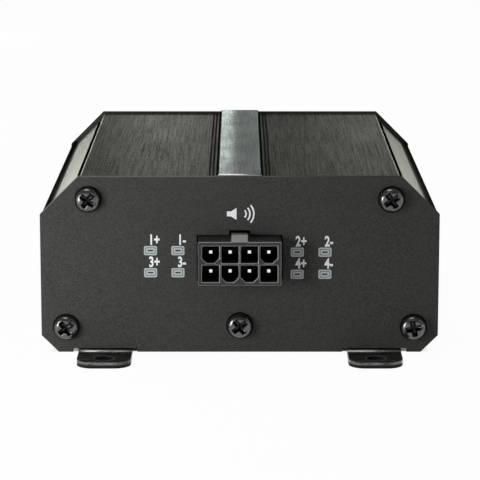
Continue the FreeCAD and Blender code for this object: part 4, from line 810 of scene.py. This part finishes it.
# The sign for a signal that goes in: an arrow and the bracket that it points into.
ARROW = [(-2.6, 0.3), (-0.5, 0.3), (-0.5, 1.05), (0.9, 0), (-0.5, -1.05), (-0.5, -0.3), (-2.6, -0.3)]
BRACKET = [(1.3, 1.3), (2.4, 1.3), (2.4, -1.3), (1.3, -1.3), (1.3, -0.9), (2.0, -0.9), (2.0, 0.9), (1.3, 0.9)]

STROKE = 0.26      # width of the printed strokes
SMALL = 1.5        # height of the small figures


def knob_marks(node, body, channels):
    """A dial of plain strokes and numbers round a gain knob, and the pointer on the knob itself."""
    least, most = joint_limits(body + "_turn")
    steps = 10
    radius, _, x, z = seen_from_input(node)
    strokes = []
    for step in range(steps + 1):
        outer = radius + (1.45 if step % 5 == 0 else 1.1)
        strokes.append(bar(least + (most - least) * step / steps, radius + 0.65, outer, STROKE))
    pointer = outline_curve("pointer", [ARROWHEAD], on_end(x, z, "input", face=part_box(node)[1].y))
    joined(body + "_pointer", [pointer], body, "knob_plastic", "print_white")
    return [outline_curve("dial", strokes, on_end(x, z, "input")),
            text_mesh("0", SMALL, on_end(x - 3.5, z - radius - 1.75, "input")),
            text_mesh("10", SMALL, on_end(x + 3.5, z - radius - 1.75, "input")),
            text_mesh(channels, 1.8, on_end(x, z + radius + 2.9, "input"))]


def input_marks():
    """Plain numbers and signs at the input end: dials, switch positions, pin numbers, polarity and lamp."""
    figures = knob_marks("front_gain_knob", "front_gain", "1 2")
    figures += knob_marks("rear_gain_knob", "rear_gain", "3 4")

    _, half_height, x, z = seen_from_input("crossover_slider")
    travel = joint_limits("crossover_slide")[1] / MM
    for number in range(3):
        position, top = x + travel * (number - 1), z + half_height
        tick = bar(0, 0.85, 1.45, STROKE)
        figures.append(outline_curve("tick", [tick], on_end(position, top, "input")))
        figures.append(text_mesh(str(number), SMALL, on_end(position, top + 2.6, "input")))

    half_width, half_height, x, z = seen_from_input("input_header")
    for number, side, rise in (("1", -1, 1), ("5", 1, 1), ("6", -1, -1), ("10", 1, -1)):
        place = on_end(x + side * (half_width - 1.2), z + rise * (half_height + 1.6) - 0.95, "input")
        figures.append(text_mesh(number, SMALL, place))
    figures.append(outline_curve("arrow", [ARROW, BRACKET], on_end(x, z + half_height + 3.1, "input")))

    half_width, half_height, x, z = seen_from_input("power_header")
    for sign, side in (("+", -1), ("-", 1)):
        place = on_end(x + side * (half_width - 1.1), z + half_height + 0.7, "input")
        figures.append(text_mesh(sign, 2.2, place))

    radius, _, x, z = seen_from_input("status_led")
    power = [arc_band(0.75, 1.0, -230, 50, 16), bar(0, 0.3, 1.15, STROKE)]
    figures.append(outline_curve("power", power, on_end(x, z + radius + 1.9, "input")))
    joined("input_figures", figures, "chassis", "textured_black", "print_white")


output_marks()
input_marks()


# ---------------------------------------------------------------- camera, light and floor

def softbox(name, location, target, width, height, power):
    """A rectangular lamp that the camera doesn't see."""
    lamp = bpy.data.lights.new(name, "AREA")
    lamp.shape = "RECTANGLE"
    lamp.size = width
    lamp.size_y = height
    lamp.energy = power
    thing = in_scene(name, lamp)
    thing.location = location
    thing.visible_camera = False
    thing.rotation_euler = (Vector(target) - thing.location).to_track_quat("-Z", "Y").to_euler()


def studio_floor():
    """Pale sweep: white to the camera, with a faint shadow around the object and the full one under it."""
    reach = 6.0
    corners = [(-reach, -reach, 0), (reach, -reach, 0), (reach, reach, 0), (-reach, reach, 0)]
    mesh = bpy.data.meshes.new("floor")
    mesh.from_pydata(corners, [], [range(4)])
    floor = in_scene("floor", mesh)
    paint = Paint("floor_white", (0.8, 0.8, 0.8), 0.9)
    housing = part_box("output_end_plate")[1].x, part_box("input_end_plate")[1].y
    outside = 0.0
    for letter, half, inset, soft in zip("XY", housing, (1 * MM, 5.8 * MM), (7 * MM, 1 * MM)):
        edge = half - inset
        beyond = paint.remap(paint.unsigned("Object", letter), edge - soft, edge)
        outside = paint.greatest(outside, beyond)
    glow = paint.node("Emission", {"Strength": 1.0})
    path = paint.node("LightPath")
    reflected = paint.product(path.outputs["Is Glossy Ray"], 0.95)
    seen = paint.greatest(path.outputs["Is Camera Ray"], reflected)
    white = paint.product(seen, outside, 0.97)
    blend = paint.node("MixShader", {"Fac": white, 1: paint.shader.outputs[0], 2: glow.outputs[0]})
    paint.tree.links.new(blend.outputs[0], paint.tree.nodes["Material Output"].inputs["Surface"])
    mesh.materials.append(paint.material)


def studio_world():
    """White to the camera; to the object a room that is bright at the horizon and darker overhead."""
    world = bpy.data.worlds.new("studio")
    bpy.context.scene.world = world
    world.use_nodes = True
    tree = world.node_tree
    room = tree.nodes["Background"]
    white = tree.nodes.new("ShaderNodeBackground")
    for background in (room, white):
        background.inputs["Color"].default_value = (1, 1, 1, 1)
    direction = tree.nodes.new("ShaderNodeTexCoord")
    parts = tree.nodes.new("ShaderNodeSeparateXYZ")
    tree.links.new(direction.outputs["Generated"], parts.inputs[0])

    def ramp(axis, low, high, to_low, to_high):
        """Strength that goes smoothly from to_low to to_high as the direction's component rises."""
        made = tree.nodes.new("ShaderNodeMapRange")
        made.interpolation_type = "SMOOTHSTEP"
        for name, value in zip(("From Min", "From Max", "To Min", "To Max"), (low, high, to_low, to_high)):
            made.inputs[name].default_value = value
        tree.links.new(parts.outputs[axis], made.inputs["Value"])
        return made.outputs["Result"]

    def product(first, second):
        made = tree.nodes.new("ShaderNodeMath")
        made.operation = "MULTIPLY"
        tree.links.new(first, made.inputs[0])
        tree.links.new(second, made.inputs[1])
        return made.outputs[0]

    darker_overhead = ramp("Z", 0.08, 0.22, 0.95, 0.2)
    darker_right = ramp("X", -0.35, 0.35, 1.05, 0.9)
    darker_in_front = ramp("Y", -0.5, 0.3, 0.8, 1.0)
    strength = product(product(darker_overhead, darker_right), darker_in_front)
    path = tree.nodes.new("ShaderNodeLightPath")
    blend = tree.nodes.new("ShaderNodeMixShader")
    tree.links.new(strength, room.inputs["Strength"])
    tree.links.new(path.outputs["Is Camera Ray"], blend.inputs["Fac"])
    tree.links.new(room.outputs[0], blend.inputs[1])
    tree.links.new(white.outputs[0], blend.inputs[2])
    tree.links.new(blend.outputs[0], tree.nodes["World Output"].inputs["Surface"])


def front_camera():
    """A long lens before the output end that looks slightly down on it."""
    distance, height, tilt = 0.5535, 0.1271, 11.298
    data = bpy.data.cameras.new("camera")
    data.sensor_width = 36.0
    data.lens = 176.6
    data.clip_start = 0.01
    camera = in_scene("camera", data)
    camera.location = (0.05 * MM, -distance, height)
    camera.rotation_euler = (math.radians(90 - tilt), 0, 0)
    bpy.context.scene.camera = camera


studio_floor()
studio_world()
front_camera()

# The soft light of the room, then low lamps behind the object that its bright metal reflects.
softbox("key", (-0.135, -0.155, 0.042), (-0.02, -0.05, 0.01), 0.07, 0.07, 0.22)
softbox("overhead", (-0.12, -0.1, 0.65), (0, -0.05, 0.0), 0.5, 0.25, 1.1)
softbox("kicker", (0.35, -0.2, 0.15), (0.02, -0.05, 0.02), 0.05, 0.3, 0.08)
softbox("panel_left", (-0.17, 0.6, 0.026), (-0.04, 0, 0.03), 0.1, 0.02, 0.1)
softbox("panel_right", (0.19, 0.6, 0.026), (0.04, 0, 0.03), 0.1, 0.02, 0.09)
softbox("rear_near", (-0.026, 0.3, 0.078), (0, 0.03, 0.041), 0.036, 0.024, 0.013)
softbox("rear_top_right", (0.05, 0.3, 0.085), (0.025, 0.03, 0.041), 0.035, 0.03, 0.009)
softbox("rear_fill", (-0.35, 0.3, 0.1), (0, 0.05, 0.02), 0.15, 0.15, 0.6)
bpy.context.scene.view_settings.view_transform = "Standard"
